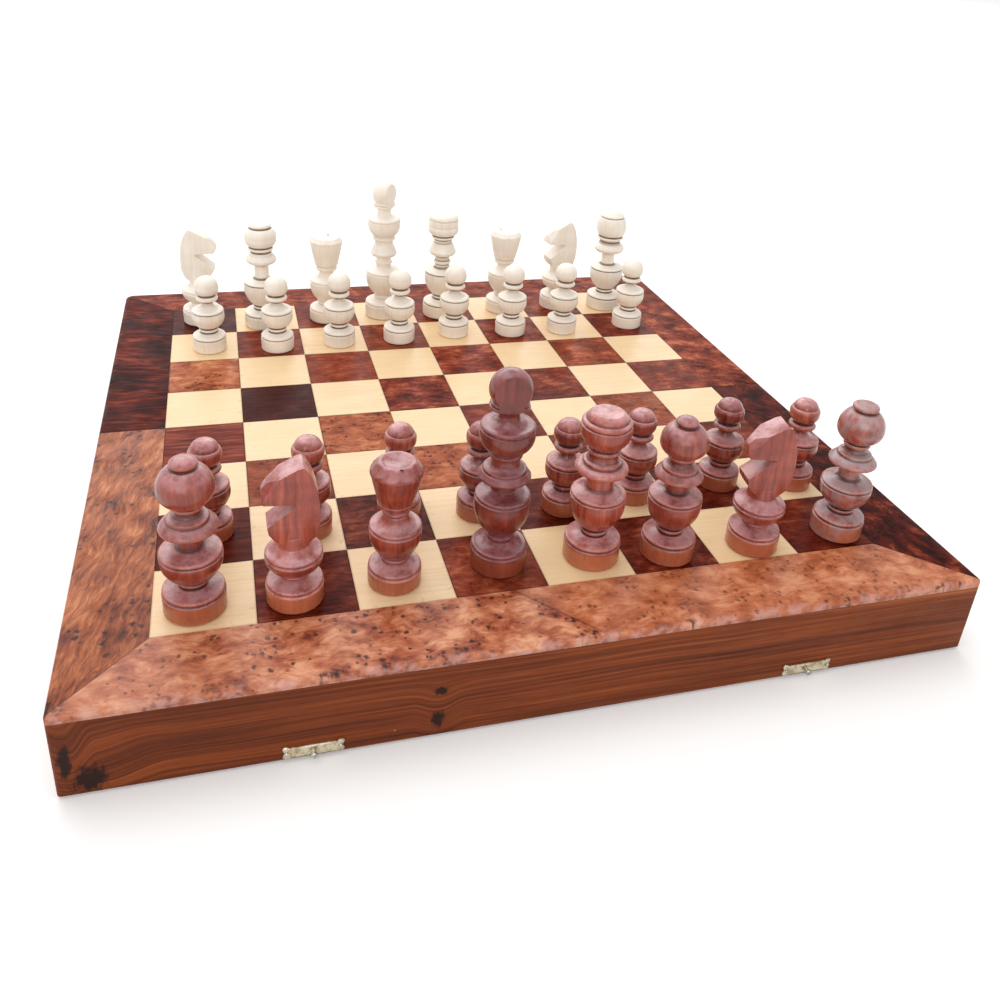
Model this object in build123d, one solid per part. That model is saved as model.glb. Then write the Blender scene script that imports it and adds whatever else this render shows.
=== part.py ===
from build123d import *
import os
import math

# Folding chess box set up for play, with its 32 turned pieces.
# Frame: X along the folding seam, Y away from the near player, Z up.
# Origin: bottom centre. Millimetres.

os.makedirs("parts", exist_ok=True)

# ---------------------------------------------------------------- board
SQUARE = 41.5            # one playing square
FIELD = 8 * SQUARE       # playing field, 332
BORDER = 34.0            # border strip width
BOARD = FIELD + 2 * BORDER   # overall, 400
SEAM_SETBACK = 0.2       # each half stops this short of the seam plane
RIM_Z = 1.3              # rims of the two trays, above the hinge barrels
TOP_Z = 41.0             # playing surface
WALL_T = 10.0            # wall thickness
STRIP_T = 4.0            # border strip thickness
INLAY_T = 1.2            # thickness of the inlaid squares
PANEL_T = 4.0            # panel between the walls
NEAR_CORNER_R = 1.5      # vertical corner rounding, near corners
FAR_CORNER_R = 6.0       # vertical corner rounding, far corners
EDGE_R = 1.6             # rounding of the top outer edge

# ---------------------------------------------------------------- hinges
HINGE_X = 105.0          # hinge centres at plus and minus this
HINGE_L = 30.0           # hinge length
AXIS_Z = 1.2             # height of the folding axis
BARREL_R = 1.2
PIN_R = 0.6
NEAR_BORE_R = 0.62
FAR_BORE_R = 0.65
KNUCKLE_GAP = 0.3
KNUCKLE_L = 9.0          # end knuckles
LEAF_T = 0.8
LEAF_REACH = 9.0         # leaf edge from the axis
LEAF_BACK = 1.7          # leaf edge next to the other leaf's knuckle
BARREL_CLEAR = 0.3
SCREW_X = 9.0            # screw offset from the hinge centre
SCREW_Y = 5.4
SCREW_HEAD_R = 1.6
SCREW_R = 0.8
SCREW_L = 7.0

# ---------------------------------------------------------------- catches
CATCH_XS = (-106.0, 115.0)   # catch centres along the wall
PLATE_T = 1.0
PLATE_Z = 5.0
STUD_Z = 4.0
STUD_R = 1.0
STUD_HEAD_R = 1.6
STUD_NECK = 1.6          # from the plate's face to the head
STUD_HEAD_T = 1.0
PIVOT_Z = 5.6
PIVOT_R = 0.8
HOOK_BORE_R = 0.85
HOOK_T = 1.0
HOOK_OFF = 0.2           # hook face from the plate
HOOK_SLOT_CLEAR = 0.3
NAIL_X = 10.6
NAIL_R = 0.45
NAIL_HEAD_R = 0.85
NAIL_HEAD_T = 0.6
FLUSH_HEAD_T = 0.12      # flatter heads where the hooks sweep over them
NAIL_L = 6.0
KING_FLAT = 5.2          # half thickness of the kings' flattened ball

# ---------------------------------------------------------------- pieces
# (x, y) of each piece on the board
RED_BACK = [(-148.6, -150.7), (-108.3, -152.3), (-65.6, -149.1), (-17.9, -145.8),
            (25.8, -148.8), (62.0, -152.9), (105.4, -154.8), (153.1, -152.5)]
RED_PAWNS = [(-142.4, -101.2), (-97.9, -106.0), (-55.0, -101.4), (-16.9, -106.2),
             (25.6, -109.7), (64.6, -106.1), (114.6, -102.9), (154.6, -109.1)]
WHITE_BACK = [(-146.9, 147.5), (-106.0, 136.3), (-62.2, 140.6), (-21.9, 143.4),
              (19.3, 139.1), (66.5, 142.2), (109.6, 143.9), (146.3, 139.4)]
WHITE_PAWNS = [(-141.8, 100.8), (-99.1, 96.2), (-58.7, 98.6), (-18.3, 98.8),
               (20.7, 103.7), (60.9, 100.2), (98.8, 99.6), (150.0, 102.5)]
LIFT_GAP = 0.05          # each base stands this far above the inlay


def save(node, solids):
    """Write one node: a list of separate solids, or one solid."""
    flat = []
    for s in solids if isinstance(solids, (list, tuple)) else [solids]:
        flat.extend(s.solids())
    shape = flat[0] if len(flat) == 1 else Compound(children=flat)
    export_step(shape, "parts/%s.step" % node)
    print(node, len(flat))


# ---------------------------------------------------------------- board
def outline(z0, z1, fillet_top=False):
    """Plan of the whole board with its rounded corners, as a prism."""
    h = BOARD / 2
    plan = Polyline((-h, -h), (h, -h), (h, h), (-h, h), close=True)
    body = extrude(make_face(plan), amount=z1 - z0)
    near = [e for e in body.edges().filter_by(Axis.Z) if e.center().Y < 0]
    far = [e for e in body.edges().filter_by(Axis.Z) if e.center().Y > 0]
    body = fillet(near, NEAR_CORNER_R)
    far = [e for e in body.edges().filter_by(Axis.Z)
           if e.center().Y > h - 1 and abs(e.center().X) > h - 1]
    body = fillet(far, FAR_CORNER_R)
    if fillet_top:
        body = fillet(body.faces().sort_by(Axis.Z)[-1].edges(), EDGE_R)
    return Pos(0, 0, z0) * body


def prism(points, z0, z1):
    return Pos(0, 0, z0) * extrude(make_face(Polyline(*points, close=True)), amount=z1 - z0)


def block(x0, x1, y0, y1, z0, z1):
    return Pos((x0 + x1) / 2, (y0 + y1) / 2, (z0 + z1) / 2) * Box(x1 - x0, y1 - y0, z1 - z0)


H = BOARD / 2
F = FIELD / 2
WI = H - WALL_T                  # inner face of the outer walls
STRIP_Z = TOP_Z - STRIP_T        # top of the walls
INLAY_Z = TOP_Z - INLAY_T        # top of the panel
g = SEAM_SETBACK
BIG = 1.0

border_prism = outline(STRIP_Z, TOP_Z, True)
wall_prism = outline(RIM_Z, STRIP_Z)


def strips(sign):
    """Three mitred border strips of one half: outer, left and right."""
    s = sign
    outer = [(-H - BIG, s * (H + BIG)), (H + BIG, s * (H + BIG)), (F, s * F), (-F, s * F)]
    left = [(-H - BIG, s * (H + BIG)), (-F, s * F), (-F, s * g), (-H - BIG, s * g)]
    right = [(-x, y) for x, y in left]
    return [border_prism & prism(p, STRIP_Z - 1, TOP_Z + 1) for p in (outer, left, right)]


def walls(sign):
    """Outer, left, right (mitred at the corners) and seam wall of one half."""
    s = sign
    outer = [(-H - BIG, s * (H + BIG)), (H + BIG, s * (H + BIG)), (WI, s * WI), (-WI, s * WI)]
    left = [(-H - BIG, s * (H + BIG)), (-WI, s * WI), (-WI, s * g), (-H - BIG, s * g)]
    right = [(-x, y) for x, y in left]
    o, l, r = [wall_prism & prism(p, RIM_Z - 1, STRIP_Z + 1) for p in (outer, left, right)]
    ya, yb = sorted((s * g, s * (g + WALL_T)))
    seam = block(-WI, WI, ya, yb, RIM_Z, STRIP_Z)
    return o, l, r, seam


def panel(sign):
    s = sign
    ya, yb = sorted((s * (g + WALL_T), s * WI))
    low = block(-WI, WI, ya, yb, STRIP_Z - PANEL_T, STRIP_Z)
    ya, yb = sorted((s * g, s * F))
    high = block(-F, F, ya, yb, STRIP_Z, INLAY_Z)
    return low + high


def squares(sign, light):
    out = []
    rows = range(0, 4) if sign < 0 else range(4, 8)
    for row in rows:
        for col in range(8):
            if ((row + col) % 2 == 0) != light:
                continue
            x0 = -F + col * SQUARE
            y0 = -F + row * SQUARE
            y1 = y0 + SQUARE
            if row == 3:
                y1 = -g
            if row == 4:
                y0 = g
            out.append(block(x0, x0 + SQUARE, y0, y1, INLAY_Z, TOP_Z))
    return out


# ---------------------------------------------------------------- hinges
def xcyl(x0, x1, y, z, r):
    return Pos((x0 + x1) / 2, y, z) * Rot(0, 90, 0) * Cylinder(r, x1 - x0)


def leaf_plate(cx, sign):
    """Leaf outline: reaches the axis at its own knuckles only."""
    s = sign
    own = [(-HINGE_L / 2, -HINGE_L / 2 + KNUCKLE_L), (HINGE_L / 2 - KNUCKLE_L, HINGE_L / 2)]
    if s > 0:
        k = HINGE_L / 2 - KNUCKLE_L - KNUCKLE_GAP
        own = [(-k, k)]
    ya, yb = sorted((s * LEAF_BACK, s * LEAF_REACH))
    body = block(cx - HINGE_L / 2, cx + HINGE_L / 2, ya, yb, RIM_Z, RIM_Z + LEAF_T)
    for a, b in own:
        ya, yb = sorted((s * 0.7, s * (LEAF_BACK + 0.5)))
        body += block(cx + a, cx + b, ya, yb, RIM_Z, RIM_Z + LEAF_T)
    return body, own


def leaf(cx, sign):
    body, own = leaf_plate(cx, sign)
    bore = NEAR_BORE_R if sign < 0 else FAR_BORE_R
    for a, b in own:
        body += xcyl(cx + a, cx + b, 0, AXIS_Z, BARREL_R)
    body -= xcyl(cx - HINGE_L, cx + HINGE_L, 0, AXIS_Z, bore)
    for dx in (-SCREW_X, SCREW_X):
        body -= screw_solid(cx + dx, sign * SCREW_Y, slot=False)
    return body


def screw_solid(x, y, slot=True):
    """Countersunk wood screw driven upward into a rim, head flush with the leaf."""
    z = RIM_Z
    prof = Polyline((0, 0), (SCREW_HEAD_R, 0), (SCREW_HEAD_R, 0.15), (SCREW_R, LEAF_T),
                    (SCREW_R, SCREW_L - 1.2), (0, SCREW_L), close=True)
    s = revolve(make_face(Plane.XZ * prof), axis=Axis.Z)
    s = Pos(x, y, z) * s
    if slot:
        s -= block(x - 2, x + 2, y - 0.22, y + 0.22, z - 1, z + 0.4)
    return s


def seam_cutter(sign):
    """Everything let into one seam wall: leaf mortises, barrel grooves, screw holes."""
    out = []
    for cx in (-HINGE_X, HINGE_X):
        s = sign
        ya, yb = sorted((s * 0.1, s * LEAF_REACH))
        out.append(block(cx - HINGE_L / 2, cx + HINGE_L / 2, ya, yb, RIM_Z - 1, RIM_Z + LEAF_T))
        out.append(xcyl(cx - HINGE_L / 2 - BARREL_CLEAR, cx + HINGE_L / 2 + BARREL_CLEAR, 0, AXIS_Z,
                        BARREL_R + BARREL_CLEAR))
        for dx in (-SCREW_X, SCREW_X):
            out.append(screw_solid(cx + dx, s * SCREW_Y, slot=False))
    return out


# ---------------------------------------------------------------- catches
def plate_outline():
    pts = [(-8.4, 2.5), (-10.6, 3.1), (-12.1, 2.4), (-11.5, 0.0), (-12.1, -2.4), (-10.6, -3.1),
           (-8.4, -2.6), (8.4, -2.6), (10.6, -3.1), (12.1, -2.4), (11.5, 0.0), (12.1, 2.4),
           (10.6, 3.1), (8.4, 2.5)]
    return make_face(Polyline(*pts, close=True))


def ycyl(x, y0, y1, z, r):
    return Pos(x, (y0 + y1) / 2, z) * Rot(90, 0, 0) * Cylinder(r, abs(y1 - y0))


def catch_plate(cx, sign, centre_z, centre_r):
    """Fishtail plate on an outer wall, pierced for its stud and two nails."""
    y0 = sign * H
    y1 = sign * (H + PLATE_T)
    face = plate_outline()
    body = Pos(cx, max(y0, y1), PLATE_Z) * Rot(90, 0, 0) * extrude(face, amount=PLATE_T)
    body -= ycyl(cx, y0 - 2, y0 + 2, centre_z, centre_r)
    for dx in (-NAIL_X, NAIL_X):
        body -= ycyl(cx + dx, y0 - 2, y0 + 2, PLATE_Z, NAIL_R)
    return body


def turned_y(x, z, sign, profile):
    """Solid of revolution about a Y-parallel axis; profile in (radius, distance out)."""
    f = make_face(Plane.XZ * Polyline(*profile, close=True))
    s = revolve(f, axis=Axis.Z)
    return Pos(x, 0, z) * Rot(-90 if sign > 0 else 90, 0, 0) * s


def catch_stud(cx, sign):
    a = H - 6.0
    b = H + PLATE_T + STUD_NECK
    c = b + STUD_HEAD_T
    prof = [(0, a), (STUD_R, a), (STUD_R, b), (STUD_HEAD_R, b), (STUD_HEAD_R, b + 0.35),
            (STUD_HEAD_R - 0.35, c - 0.15), (0.7, c), (0, c)]
    return turned_y(cx, STUD_Z, sign, prof)


def catch_pivot(cx, sign):
    a = H - 6.0
    b = H + PLATE_T + HOOK_OFF + HOOK_T + 0.3
    c = H + PLATE_T + STUD_NECK + STUD_HEAD_T
    prof = [(0, a), (PIVOT_R, a), (PIVOT_R, b), (1.4, b), (1.4, b + 0.4), (1.0, c - 0.1), (0.5, c), (0, c)]
    return turned_y(cx, PIVOT_Z, sign, prof)


def nail(x, z, sign):
    a = H - NAIL_L
    b = H + PLATE_T
    t = NAIL_HEAD_T if sign < 0 else FLUSH_HEAD_T
    prof = [(0, a), (NAIL_R, a + 0.8), (NAIL_R, b), (NAIL_HEAD_R, b), (NAIL_HEAD_R * 0.8, b + t * 0.7),
            (0.35, b + t), (0, b + t)]
    return turned_y(x, z, sign, prof)


def wall_holes(cx, sign, centre_z, centre_r):
    y0, y1 = sorted((sign * (H - 6.0), sign * (H + 1)))
    out = [ycyl(cx, y0, y1, centre_z, centre_r)]
    for dx in (-NAIL_X, NAIL_X):
        out.append(nail(cx + dx, PLATE_Z, sign))
    return out


def hook(cx):
    """Swinging hook: an eye on the pivot, an arm, and a throat that takes the stud."""
    reach = PIVOT_Z + STUD_Z - 2 * AXIS_Z
    r = STUD_R + HOOK_SLOT_CLEAR
    sk = Circle(1.9)
    sk += Pos(reach / 2, 0) * Rectangle(reach, 2.2)
    sk += Pos(reach, 0) * Circle(2.5)
    sk += Pos(reach + 1.4, 0.9) * Rot(0, 0, 28) * Rectangle(3.2, 1.8)
    slot = Pos(reach, 0) * Circle(r)
    ring = Circle(reach + r) - Circle(reach - r)
    wedge = make_face(Polyline((0, 0), (14, 0), (14, -14), (4, -14), close=True))
    sk -= slot
    sk -= ring & wedge
    sk -= Circle(HOOK_BORE_R)
    body = extrude(sk, amount=HOOK_T)
    y_out = H + PLATE_T + HOOK_OFF + HOOK_T
    solids = (Pos(cx, y_out, PIVOT_Z) * Rot(90, 0, 0) * body).solids().sort_by(SortBy.VOLUME)
    return solids[-1]


# ---------------------------------------------------------------- turned profiles
def turned(items):
    """Revolve a half profile about Z. items: first point, then ('l', p) or ('a', mid, p)."""
    edges = []
    cur = items[0]
    for it in items[1:]:
        if it[0] == "l":
            edges.append(Line((cur[0], 0, cur[1]), (it[1][0], 0, it[1][1])))
            cur = it[1]
        else:
            edges.append(ThreePointArc((cur[0], 0, cur[1]), (it[1][0], 0, it[1][1]), (it[2][0], 0, it[2][1])))
            cur = it[2]
    edges.append(Line((cur[0], 0, cur[1]), (items[0][0], 0, items[0][1])))
    return revolve(make_face(Curve() + edges), axis=Axis.Z)


def L(r, z):
    return ("l", (r, z))


def A(rm, zm, r, z):
    return ("a", (rm, zm), (r, z))


def foot(R, hg, hn):
    """Drum base, groove, shallow dished top and a neck bead at height hn."""
    return [(0, 0), L(R - 1.3, 0), A(R - 0.35, 0.45, R - 0.1, 1.6), L(R, hg - 0.7),
            L(R - 0.85, hg - 0.2), L(R - 0.85, hg + 0.1), L(R - 0.25, hg + 0.55),
            A(R - 0.35, hg + 1.3, R - 1.2, hg + 1.8), A((R + 5.8) / 2, hg + 2.2, 6.0, hn - 1.7),
            L(5.1, hn - 1.5), L(5.1, hn - 1.0), L(5.9, hn - 0.8), A(6.5, hn, 5.9, hn + 0.8)]


def bowl(R, z0, zg, rn, zn):
    """Round bowl with a groove under its rim and a nearly flat top that sweeps up to a neck."""
    return [L(5.2, z0 - 0.4), L(5.5, z0), A(R - 1.9, z0 + (zg - z0) * 0.34, R - 0.1, zg - 1.7),
            L(R, zg - 0.6), L(R - 0.85, zg - 0.15), L(R - 0.85, zg + 0.15), L(R - 0.15, zg + 0.55),
            A(R - 0.3, zg + 1.2, R - 1.1, zg + 1.65), A((R + rn) / 2 - 0.7, zg + 2.3, rn, zn)]


def flange(rn, Rf, zl, rs, zs, rc, zc):
    """Disc with a thin lower edge, a stepped smaller disc on it, a dished top and a collar."""
    return [L(rn, zl - 2.4), A(rn + 0.5, zl - 1.5, rn + 1.6, zl - 1.1), L(Rf - 1.2, zl - 0.5),
            A(Rf - 0.1, zl - 0.1, Rf - 0.1, zl + 0.9), A(Rf - 1.1, zl + 2.2, rs + 0.7, zs - 0.8),
            L(rs + 0.2, zs - 0.6), L(rs + 0.2, zs + 0.1), A(rs, zs + 0.7, rs - 0.7, zs + 0.9),
            A((rs + rc) / 2 - 0.6, zs + 1.2, rc - 0.9, zs + 2.6), L(rc - 0.9, zc - 1.3),
            L(rc - 0.2, zc - 1.0), A(rc + 0.2, zc - 0.1, rc - 0.2, zc + 0.8), L(rc - 0.9, zc + 1.0),
            L(rc - 0.9, zc + 1.4)]


def spindle(rn, zb, Rf, zl, zw, ru, zu, rc, zc):
    """Slim neck with an optional bead at zb, then a spindle ring rising to a collar."""
    bead = [L(rn, zb - 1.2), L(rn + 0.7, zb - 0.9), A(rn + 1.1, zb, rn + 0.7, zb + 0.9),
            L(rn, zb + 1.2)] if zb else []
    return bead + [L(rn, zl - 1.6), A(rn + 0.4, zl - 0.9, rn + 1.3, zl - 0.6), A(Rf - 0.6, zl + 0.5, Rf, zw),
                   A(Rf - 0.6, zw + 1.3, ru + 0.9, zu - 1.4), L(ru + 0.2, zu), L(ru - 0.4, zu + 0.3),
                   L(rc - 1.5, zc - 1.5), L(rc - 0.3, zc - 1.0), A(rc + 0.1, zc - 0.1, rc - 0.3, zc + 0.7),
                   L(rc - 1.2, zc + 0.9), L(rc - 1.2, zc + 1.3)]


def pawn_profile(capped):
    R = 10.5
    p = [(0, 0), L(R - 1.1, 0), A(R - 0.3, 0.4, R - 0.1, 1.4), L(R, 8.0),
         L(R - 0.75, 8.45), L(R - 0.75, 8.7), L(R - 0.15, 9.1), A(R - 0.3, 10.0, R - 1.2, 10.6),
         A(7.6, 11.1, 5.6, 12.2), L(4.9, 12.4), L(4.9, 12.9), L(5.6, 13.1), A(6.1, 14.0, 5.6, 14.8),
         L(4.9, 15.0), L(5.1, 15.5), A(8.8, 18.4, 10.0, 24.4), L(10.0, 25.6), L(9.25, 26.0),
         L(9.25, 26.25), L(9.85, 26.65), A(9.7, 27.5, 8.9, 28.0), A(6.0, 28.7, 4.0, 30.6),
         A(3.5, 31.9, 3.6, 33.5), L(5.4, 34.0), A(6.8, 34.9, 6.6, 36.0), L(5.6, 36.9), L(4.6, 37.2),
         L(4.7, 37.7)]
    if capped:
        return p + [A(6.9, 39.6, 7.45, 42.4), A(7.3, 44.3, 6.7, 45.3), L(6.2, 45.5), L(6.25, 45.8),
                    A(4.2, 48.8, 0.6, 49.6), L(0, 49.6)]
    return p + [A(7.0, 39.8, 7.4, 43.0), A(5.9, 47.2, 0.6, 49.6), L(0, 49.6)]


def red_rook_profile(R, flat_button):
    k = R / 12.8
    p = foot(R, 9.4, 14.5) + bowl(R - 0.1, 15.7, 27.8, 5.0, 31.6)
    p += flange(5.0, 11.7 * k, 40.0, 8.1 * k, 44.4, 5.9, 49.8)
    p += [A(10.0 * k, 54.2, 11.2 * k, 58.8), A(9.7 * k, 63.9, 5.6, 67.4)]
    if flat_button:
        return p + [L(5.2, 67.6), L(5.3, 67.9), A(6.0, 68.9, 5.5, 70.0), L(4.6, 70.4), L(0, 70.6)]
    return p + [L(5.0, 67.6), L(5.1, 68.0), A(5.6, 69.1, 5.0, 70.1), A(3.1, 71.4, 0.6, 71.8), L(0, 71.8)]


def third_bulb_profile():
    return foot(12.5, 9.4, 14.6) + bowl(12.3, 15.8, 31.4, 5.0, 34.9) + \
        flange(5.0, 10.9, 42.4, 7.9, 46.6, 6.0, 52.2) + \
        [A(9.7, 56.0, 10.5, 60.4), A(9.0, 65.0, 4.9, 67.9), L(4.5, 68.1), L(4.6, 68.5),
         A(5.1, 69.4, 4.6, 70.3), A(2.9, 71.5, 0.6, 71.9), L(0, 71.9)]


def white_rook_profile(domed):
    R = 12.6
    p = foot(R, 8.8, 13.7) + bowl(R - 0.4, 14.9, 30.8, 4.8, 34.2)
    if domed:
        return p + spindle(4.7, 0, 10.9, 44.6, 46.6, 7.2, 51.4, 9.4, 54.7) + \
            [L(8.6, 56.2), A(10.3, 59.0, 10.8, 62.4), A(10.2, 67.0, 8.9, 69.8), L(8.2, 70.0),
             L(8.2, 70.3), A(8.4, 71.2, 7.8, 71.9), A(4.6, 73.8, 0.6, 74.2), L(0, 74.2)]
    return p + spindle(4.7, 0, 10.2, 45.6, 47.6, 7.0, 52.2, 8.2, 55.2) + \
        [L(7.4, 56.8), A(9.7, 58.8, 10.4, 62.6), A(9.9, 66.6, 7.4, 69.2), L(6.7, 69.4), L(6.7, 69.7),
         A(7.3, 70.8, 6.7, 72.0), L(5.9, 72.5), L(0, 72.7)]


def red_queen_profile():
    return foot(12.9, 10.0, 15.6) + bowl(12.5, 16.9, 34.0, 6.0, 38.2) + \
        flange(6.0, 11.9, 47.4, 8.3, 51.2, 7.4, 57.2) + \
        [A(10.2, 62.6, 11.2, 68.6), L(11.2, 69.2), L(10.5, 69.6), L(10.5, 69.8), L(11.0, 70.2),
         A(10.8, 71.2, 9.8, 72.0), L(9.2, 72.1), A(8.6, 73.8, 7.4, 75.0), L(6.8, 75.4), L(0, 75.4)]


def white_queen_profile():
    return foot(12.6, 9.4, 14.5) + bowl(12.2, 15.7, 32.7, 5.1, 36.4) + \
        spindle(5.0, 40.4, 9.5, 46.2, 48.6, 6.6, 54.4, 7.9, 58.9) + \
        [A(9.7, 61.6, 10.3, 66.5), L(10.5, 71.0), L(9.9, 71.3), L(9.9, 71.5), L(10.3, 71.9),
         A(10.0, 73.3, 8.8, 74.5), L(7.4, 75.3), L(0, 75.4)]


def king_top(R, zc, rb):
    """Cup, slim neck, two beads and the flattened ball."""
    zb = 97.48 - math.sqrt(rb * rb - 0.36)
    r0 = math.sqrt(rb * rb - (zb - 82.96) ** 2)
    return [A(R - 1.0, zc + 5.2, R, zc + 11.0), L(R, zc + 12.0), L(R - 0.6, zc + 12.3),
            L(R - 0.6, zc + 12.5), L(R - 0.05, zc + 12.9), A(R - 0.1, zc + 14.0, R - 1.0, zc + 14.6),
            A(7.4, zc + 14.9, 5.2, zc + 16.3), A(4.5, zc + 18.6, 5.6, zc + 21.6),
            L(rb - 1.5, zc + 22.1), L(rb - 0.7, zc + 22.4), L(rb - 0.4, zc + 22.9), L(rb - 0.5, zc + 23.35),
            L(rb - 0.9, zc + 23.65), L(rb - 2.0, zc + 23.9), L(rb - 2.0, zc + 24.1), L(rb - 1.0, zc + 24.3),
            L(rb - 0.8, zc + 24.65), L(rb - 1.1, zc + 25.0), L(rb - 1.6, zc + 25.2),
            L(r0, 82.96), A(rb, zb, 0.6, 97.48), L(0, 97.48)]


def red_king_profile():
    return foot(12.7, 10.0, 16.2) + bowl(12.4, 17.6, 36.2, 5.4, 40.0) + \
        flange(5.4, 11.6, 46.6, 9.4, 50.2, 7.1, 57.6) + king_top(11.8, 57.6, 9.2)


def white_king_profile():
    return foot(12.6, 9.6, 14.8) + bowl(12.2, 16.1, 32.6, 5.1, 36.3) + \
        spindle(5.0, 40.0, 9.2, 45.2, 47.2, 6.6, 53.0, 7.8, 57.6) + king_top(11.1, 57.6, 8.7)


def red_goblet_profile():
    R = 11.7
    return foot(R, 8.0, 13.2) + bowl(R - 0.3, 14.4, 28.4, 5.4, 34.6) + [
        L(5.0, 35.2), L(5.0, 35.5), L(5.6, 35.7), A(6.0, 36.6, 5.6, 37.4), L(4.9, 37.6), L(4.9, 38.2),
        L(5.8, 38.5), A(6.9, 39.4, 7.4, 41.0), L(7.1, 41.3), L(7.6, 41.7), A(9.2, 47.6, 10.7, 54.4),
        A(11.2, 55.6, 10.9, 56.9), A(10.2, 58.9, 8.6, 60.0), A(7.2, 60.6, 5.6, 60.1),
        A(3.0, 59.3, 0.6, 59.1), L(0, 59.1)]


def white_goblet_profile():
    R = 11.8
    return foot(R, 8.0, 13.2) + bowl(R - 0.4, 14.4, 28.6, 5.2, 33.6) + [
        L(4.9, 34.4), L(4.9, 36.4), L(5.4, 36.7), L(6.7, 37.0), A(7.2, 37.9, 6.8, 38.9), L(6.0, 39.2),
        L(6.0, 39.5), L(6.8, 39.9), A(7.6, 40.6, 8.0, 42.4), A(9.7, 49.6, 11.0, 57.2),
        A(11.1, 58.3, 10.4, 59.2), A(9.6, 60.2, 8.4, 60.2), A(4.6, 59.2, 0.6, 59.0), L(0, 59.0)]


def knight_profile():
    R = 12.1
    return foot(R, 8.9, 13.6) + [
        L(5.0, 14.5), L(5.4, 15.0), A(R - 2.2, 17.4, R - 0.1, 21.6), L(R - 0.1, 22.4), L(R - 0.9, 22.8),
        L(R - 0.9, 23.1), L(R - 0.2, 23.5), A(R - 0.35, 24.3, R - 1.2, 24.9), A(9.0, 25.8, 6.6, 28.2),
        L(6.2, 33.5), L(0, 33.5)]


KNIGHT_SIDE = [(4.4, 66.3), (6.2, 64.4), (8.2, 60.2), (9.9, 54.2), (10.6, 46.5), (10.3, 39.0),
               (8.4, 33.4), (4.8, 30.2), (0.6, 29.3), (-3.8, 30.4), (-7.6, 33.2), (-9.9, 36.6),
               (-10.5, 39.8), (0.9, 48.5), (1.3, 49.1), (0.6, 49.6), (-5.0, 50.1), (-11.6, 50.7),
               (-12.0, 51.5), (-12.0, 56.2), (-9.6, 59.2), (-4.7, 62.1), (2.2, 65.8)]
KNIGHT_T = 5.7           # half thickness of the head
MUZZLE_AT = (-4.7, 5.7, 62.0)          # a point on the muzzle facet, for the side y > 0
MUZZLE_N = (-0.675, 0.588, 0.447)      # its outward normal
CROWN_FACETS = 9
CROWN_TILT = 40.0        # facet normal above the horizontal, degrees
RED_CROWN_D = 44.8       # facet plane's distance from the origin along its normal
WHITE_CROWN_D = 45.5


def king(profile, turn):
    """Turned king whose neck and ball are flattened on two sides."""
    body = turned(profile)
    for s in (-1, 1):
        ya, yb = sorted((s * KING_FLAT, s * 20))
        body -= block(-20, 20, ya, yb, 74.6, 100)
    return Rot(0, 0, turn) * body


def goblet(profile, turn, d, slit):
    """Turned goblet with a faceted crown and a slit or a small dimple in its rim."""
    body = turned(profile)
    nz, nr = math.sin(math.radians(CROWN_TILT)), math.cos(math.radians(CROWN_TILT))
    for k in range(CROWN_FACETS):
        t = 2 * math.pi * k / CROWN_FACETS
        plane = Plane(origin=(d * nr * math.cos(t), d * nr * math.sin(t), d * nz),
                      z_dir=(nr * math.cos(t), nr * math.sin(t), nz))
        body -= plane * Pos(0, 0, 5) * Box(30, 30, 10)
    if slit:
        body -= Pos(0, -8.2, 59.6) * Rot(28, 0, 0) * Box(1.1, 6.0, 4.0)
    else:
        body -= Pos(0, -7.6, 60.2) * Sphere(0.8)
    return Rot(0, 0, turn) * body


def knight(turn):
    """Turned foot and bowl carrying a flat slab head with a V-cut mouth; looks along -X."""
    lower = turned(knight_profile())
    ovoid = turned([(0, 28.6), L(1.0, 28.6), A(9.4, 31.6, 12.6, 40.0), A(13.0, 50.0, 12.2, 58.0),
                    A(9.6, 64.4, 2.0, 69.0), L(0, 69.0)])
    side = Polyline(*KNIGHT_SIDE, close=True)
    head = extrude(make_face(Plane.XZ * side), amount=KNIGHT_T, both=True) & ovoid
    for s in (-1, 1):
        plane = Plane(origin=(MUZZLE_AT[0], s * MUZZLE_AT[1], MUZZLE_AT[2]),
                      z_dir=(MUZZLE_N[0], s * MUZZLE_N[1], MUZZLE_N[2]))
        head -= plane * Pos(0, 0, 10) * Box(60, 60, 20)
    return Rot(0, 0, turn) * (lower + head)


def place(solid, xy):
    return Pos(xy[0], xy[1], TOP_Z + LIFT_GAP) * solid


# ---------------------------------------------------------------- write the board
for name, s in (("near", -1), ("far", 1)):
    save(name + "_border_strips", strips(s))
    save(name + "_light_squares", squares(s, True))
    save(name + "_dark_squares", squares(s, False))
    save(name + "_playing_panel", panel(s))
    o, l, r, seam = walls(s)
    for cx in CATCH_XS:
        cz, cr = (STUD_Z, STUD_R) if s < 0 else (PIVOT_Z, PIVOT_R)
        for c in wall_holes(cx, s, cz, cr):
            o -= c
    for c in seam_cutter(s):
        seam -= c
    save(name + "_outer_wall", o)
    save(name + "_left_wall", l)
    save(name + "_right_wall", r)
    save(name + "_seam_wall", seam)
    save(name + "_hinge_leaves", [leaf(cx, s) for cx in (-HINGE_X, HINGE_X)])
    save(name + "_hinge_screws", [screw_solid(cx + dx, s * SCREW_Y) for cx in (-HINGE_X, HINGE_X)
                                  for dx in (-SCREW_X, SCREW_X)])
    cz, cr = (STUD_Z, STUD_R) if s < 0 else (PIVOT_Z, PIVOT_R)
    hardware = [catch_plate(cx, s, cz, cr) for cx in CATCH_XS]
    if s > 0:
        hardware += [catch_pivot(cx, 1) for cx in CATCH_XS]
    save(name + "_catch_plates", hardware)
    save(name + "_catch_nails", [nail(cx + dx, PLATE_Z, s) for cx in CATCH_XS
                                 for dx in (-NAIL_X, NAIL_X)])

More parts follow.
